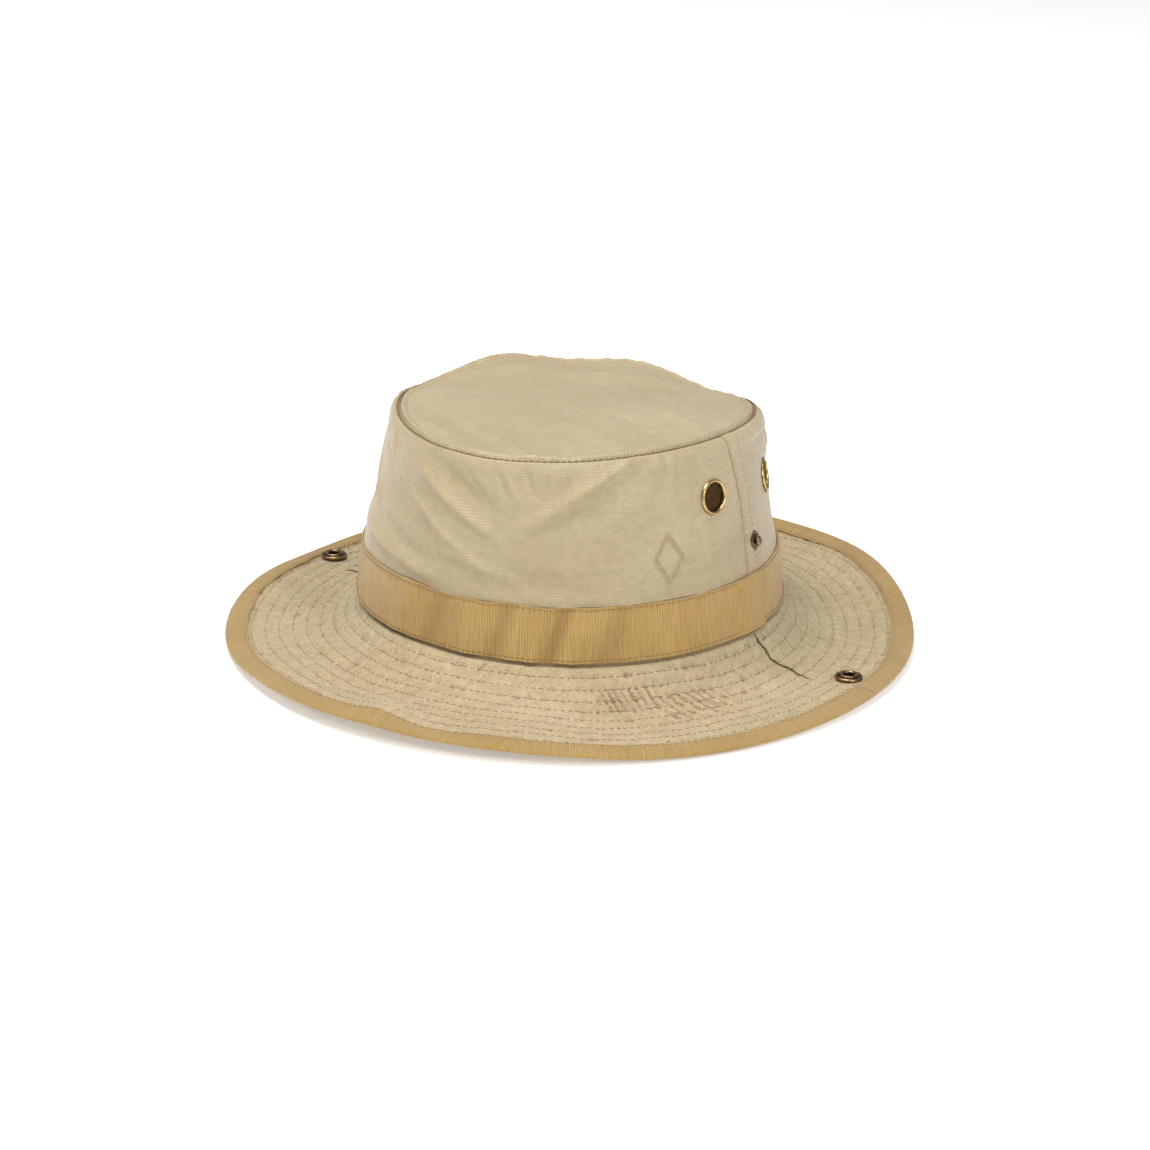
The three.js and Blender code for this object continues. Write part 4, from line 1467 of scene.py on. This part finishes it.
EYELET = (
    (6.2, -1.7, 0.1), (6.2, 0.2, 0.35), (6.35, 0.7, 0.8), (6.7, 1.05, 1.0), (7.1, 1.12, 0.8),
    (7.5, 0.85, 0.6), (7.78, 0.4, 0.9), (7.8, 0.1, 0.6), (7.5, -0.05, 0.2), (6.85, -0.05, 0.1),
    (6.8, -1.7, 0.1),
)
WASHER = (
    (6.9, -1.0, 0.2), (7.3, -0.9, 0.2), (7.9, -1.0, 0.5), (7.95, -1.25, 0.9), (7.6, -1.5, 0.7),
    (7.0, -1.75, 0.9), (6.6, -1.95, 1.0), (6.25, -1.75, 0.6), (6.5, -1.4, 0.2),
)
STUD = (
    (0.0, -0.6, 0.2), (3.9, -0.5, 0.2), (4.4, -0.2, 0.4), (4.5, 0.15, 0.8), (4.2, 0.45, 0.9),
    (3.6, 0.42, 0.4), (3.1, 0.5, 0.3), (2.5, 0.95, 0.5), (1.7, 1.05, 0.2), (1.55, 1.4, 0.1),
    (1.6, 1.7, 0.4), (2.0, 1.95, 0.8), (2.2, 2.3, 1.0), (2.05, 2.75, 0.9), (1.5, 3.05, 0.8),
    (0.8, 3.12, 0.4), (0.0, 3.0, 0.3),
)
POST = (
    (0.0, 0.6, 0.2), (1.4, 0.6, 0.2), (1.5, 0.1, 0.2), (4.4, 0.05, 0.3), (4.6, -0.25, 0.9),
    (4.3, -0.6, 1.0), (3.2, -0.82, 0.7), (1.6, -0.9, 0.6), (0.0, -0.92, 0.6),
)
SOCKET = (
    (2.6, 0.1, 0.0), (2.55, 0.9, 0.1), (2.65, 1.6, 0.5), (3.0, 2.05, 0.9), (3.7, 2.2, 1.0),
    (4.2, 2.05, 0.7), (4.45, 1.6, 0.1), (4.8, 1.4, 0.1), (5.3, 1.45, 0.6), (5.9, 1.15, 0.8),
    (6.1, 0.7, 1.0), (6.05, 0.3, 0.5), (5.7, 0.02, 0.1), (3.0, -0.1, 0.0),
)
CAP = (
    (0.0, 3.2, 0.1), (1.7, 3.2, 0.1), (1.8, 0.6, 0.1), (5.6, 0.45, 0.2), (6.2, 0.15, 0.6),
    (6.3, -0.1, 1.0), (6.0, -0.42, 0.9), (4.8, -0.72, 0.6), (3.0, -0.92, 0.5), (1.2, -1.0, 0.5),
    (0.0, -1.02, 0.5),
)


STUD_TILT = 8.5


def round_profile(profile):
    """The profile with its corners softened by one pass of corner cutting."""
    points = np.array(profile, float)
    closed = points[0, 0] > 0
    after = np.roll(points, -1, axis=0) if closed else points[1:]
    before = points if closed else points[:-1]
    cut = np.stack([before * 0.75 + after * 0.25, before * 0.25 + after * 0.75], 1).reshape(-1, 3)
    if closed:
        return cut
    return np.concatenate([points[:1], cut[1:-1], points[-1:]])


def make_screen(name, place):
    """A round of woven wire, each wire passing over and under the ones that cross it."""
    points, quads, start = [], [], 0
    radius, pitch, wire = 6.3, 0.84, 0.17
    count = int(radius / pitch)
    for direction in (0, 1):
        for k in range(-count, count + 1):
            offset = k * pitch
            half = math.sqrt(radius**2 - offset**2)
            t = np.linspace(-half, half, 42)
            wave = 0.16 * np.cos(math.pi * t / pitch) * (-1) ** (k + direction)
            line = points_at(t, offset, wave - 0.9)
            turn = np.arange(5) * TAU / 5
            ring = points_at(0.0, np.cos(turn) * wire, np.sin(turn) * wire)
            tube = (line[:, None] + ring[None]).reshape(-1, 3)
            if direction:
                tube = tube[:, [1, 0, 2]] * np.array([-1, 1, 1])
            points.append(tube)
            quads.append(grain(len(t), 5) + start)
            start += len(tube)
    points, quads = np.concatenate(points), np.concatenate(quads)
    piece = make_object(name, moved(points, place), outward(points, quads), MESH_WIRE)
    # The wires' colour runs from the dull tone at their lowest to the bright tone at their tops, set
    # by height.
    set_point_values(piece, "wear", smooth(-1.1, -0.6, points[:, 2]))
    return piece


def turned_part(node, profile, place, finish, body, around=72):
    """A turned piece that takes the place of one CAD node."""
    piece = make_lathe(node, round_profile(profile), place, finish, around)
    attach(piece, body)
    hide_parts(node)


def make_hardware():
    """The eyelets, washers and screens of the vents, then both sides' snaps."""
    for name, centre in VENTS.items():
        theta, rise = wall_place(*centre)
        place = seat(wall_base(theta, rise), wall_normal(theta, rise))
        for part, profile in (("eyelet", EYELET), ("washer", WASHER)):
            turned_part(f"{name}_{part}", profile, place, BRASS, BODY, 96)
        piece = make_screen(f"{name}_screen", place)
        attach(piece, BODY)
        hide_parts(f"{name}_screen")
    tilt = math.radians(STUD_TILT)
    for label, side in SIDES:
        axis = Vector((side * math.cos(tilt), 0, math.sin(tilt)))
        stud = Vector(STUDS[f"crown_snap_{label}"]) - axis * 1.55
        post = Vector(node_middle(f"crown_snap_{label}_post"))
        for part, profile, place in (
            ("stud", STUD, seat(stud, axis)),
            ("post", POST, seat(post + axis * 1.6, axis)),
        ):
            turned_part(f"crown_snap_{label}_{part}", profile, place, DARK_BRASS, BODY)
        for part, profile in (("socket", SOCKET), ("cap", CAP)):
            node = f"brim_snap_{label}_{part}"
            low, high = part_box(node)
            middle = in_root_frame((low + high) / 2)
            foot = in_root_frame(low)[2] if part == "socket" else in_root_frame(low)[2] + 1.0
            place = seat((middle[0], middle[1], foot), (0, 0, 1))
            turned_part(node, profile, place, DARK_BRASS, LEFT if side > 0 else RIGHT)


# ---------------------------------------------------------------- studio


LIGHTS = (
    # name, place in metres, size, power
    ("top_light", (-0.15, -0.3, 1.7), 0.8, 30.0),
    ("key_light", (-1.1, -1.4, 1.2), 0.6, 8.0),
    ("fill_light", (1.6, -0.8, 1.1), 0.8, 19.0),
)
SKY, FLOOR_SIZE, FLOOR_GLOW = 0.34, 6.0, 0.3


def make_studio():
    scene = bpy.context.scene
    world = bpy.data.worlds.new("studio")
    world.use_nodes = True
    sky = world.node_tree.nodes["Background"]
    sky.inputs["Color"].default_value = (1, 1, 1, 1)
    sky.inputs["Strength"].default_value = SKY
    scene.world = world
    scene.view_settings.view_transform = "Standard"
    mesh = bpy.data.meshes.new("studio_floor")
    corners = [(x * FLOOR_SIZE, y * FLOOR_SIZE, 0) for x, y in ((-1, -1), (1, -1), (1, 1), (-1, 1))]
    mesh.from_pydata(corners, [], [(0, 1, 2, 3)])
    floor = bpy.data.objects.new("studio_floor", mesh)
    scene.collection.objects.link(floor)
    material, tree, shader = new_material("studio_paper")
    base = mix(tree, noise(tree, 3.0), (0.97, 0.97, 0.97, 1), (0.985, 0.985, 0.985, 1))
    feed(tree, shader, {"Base Color": base, "Roughness": 0.9, "Specular IOR Level": 0.1})
    feed(tree, shader, {"Emission Color": (1, 1, 1, 1), "Emission Strength": FLOOR_GLOW})
    mesh.materials.append(material)
    for name, place, size, power in LIGHTS:
        light = bpy.data.lights.new(name, "AREA")
        light.size, light.energy = size, power
        obj = bpy.data.objects.new(name, light)
        obj.location = place
        obj.rotation_euler = (-Vector(place)).to_track_quat("-Z", "Y").to_euler()
        scene.collection.objects.link(obj)


def make_camera():
    azimuth, elevation, roll = math.radians(30.7), math.radians(19.9), math.radians(1.57)
    distance, aim_up, aim_right = 1.6, 0.00569, 0.00106
    level = math.cos(elevation)
    back = Vector((math.sin(azimuth) * level, -math.cos(azimuth) * level, math.sin(elevation)))
    right = Vector((math.cos(azimuth), math.sin(azimuth), 0))
    up = back.cross(right)
    across = right * math.cos(roll) + up * math.sin(roll)
    upward = up * math.cos(roll) - right * math.sin(roll)
    place = Vector((0, 0, ROOT_HEIGHT * MM)) + back * distance
    place += upward * aim_up + across * aim_right
    lens = bpy.data.cameras.new("camera")
    lens.lens, lens.sensor_width, lens.clip_start = 112.2, 36.0, 0.01
    camera = bpy.data.objects.new("camera", lens)
    bpy.context.scene.collection.objects.link(camera)
    turn = Matrix((across, upward, back)).transposed()
    camera.matrix_world = Matrix.Translation(place) @ turn.to_4x4()
    bpy.context.scene.camera = camera


make_camera()
make_studio()
wall_panel("crown_wall_front", -1, 1, False)
wall_panel("crown_wall_rear", 1, -1, True)
make_tip()
tip_stitches()
side_stitches()
make_motif()
make_ribbon()
make_sweatband()
make_label()
make_brim()
make_binding()
make_brim_threads()
make_brim_seams()
make_hardware()
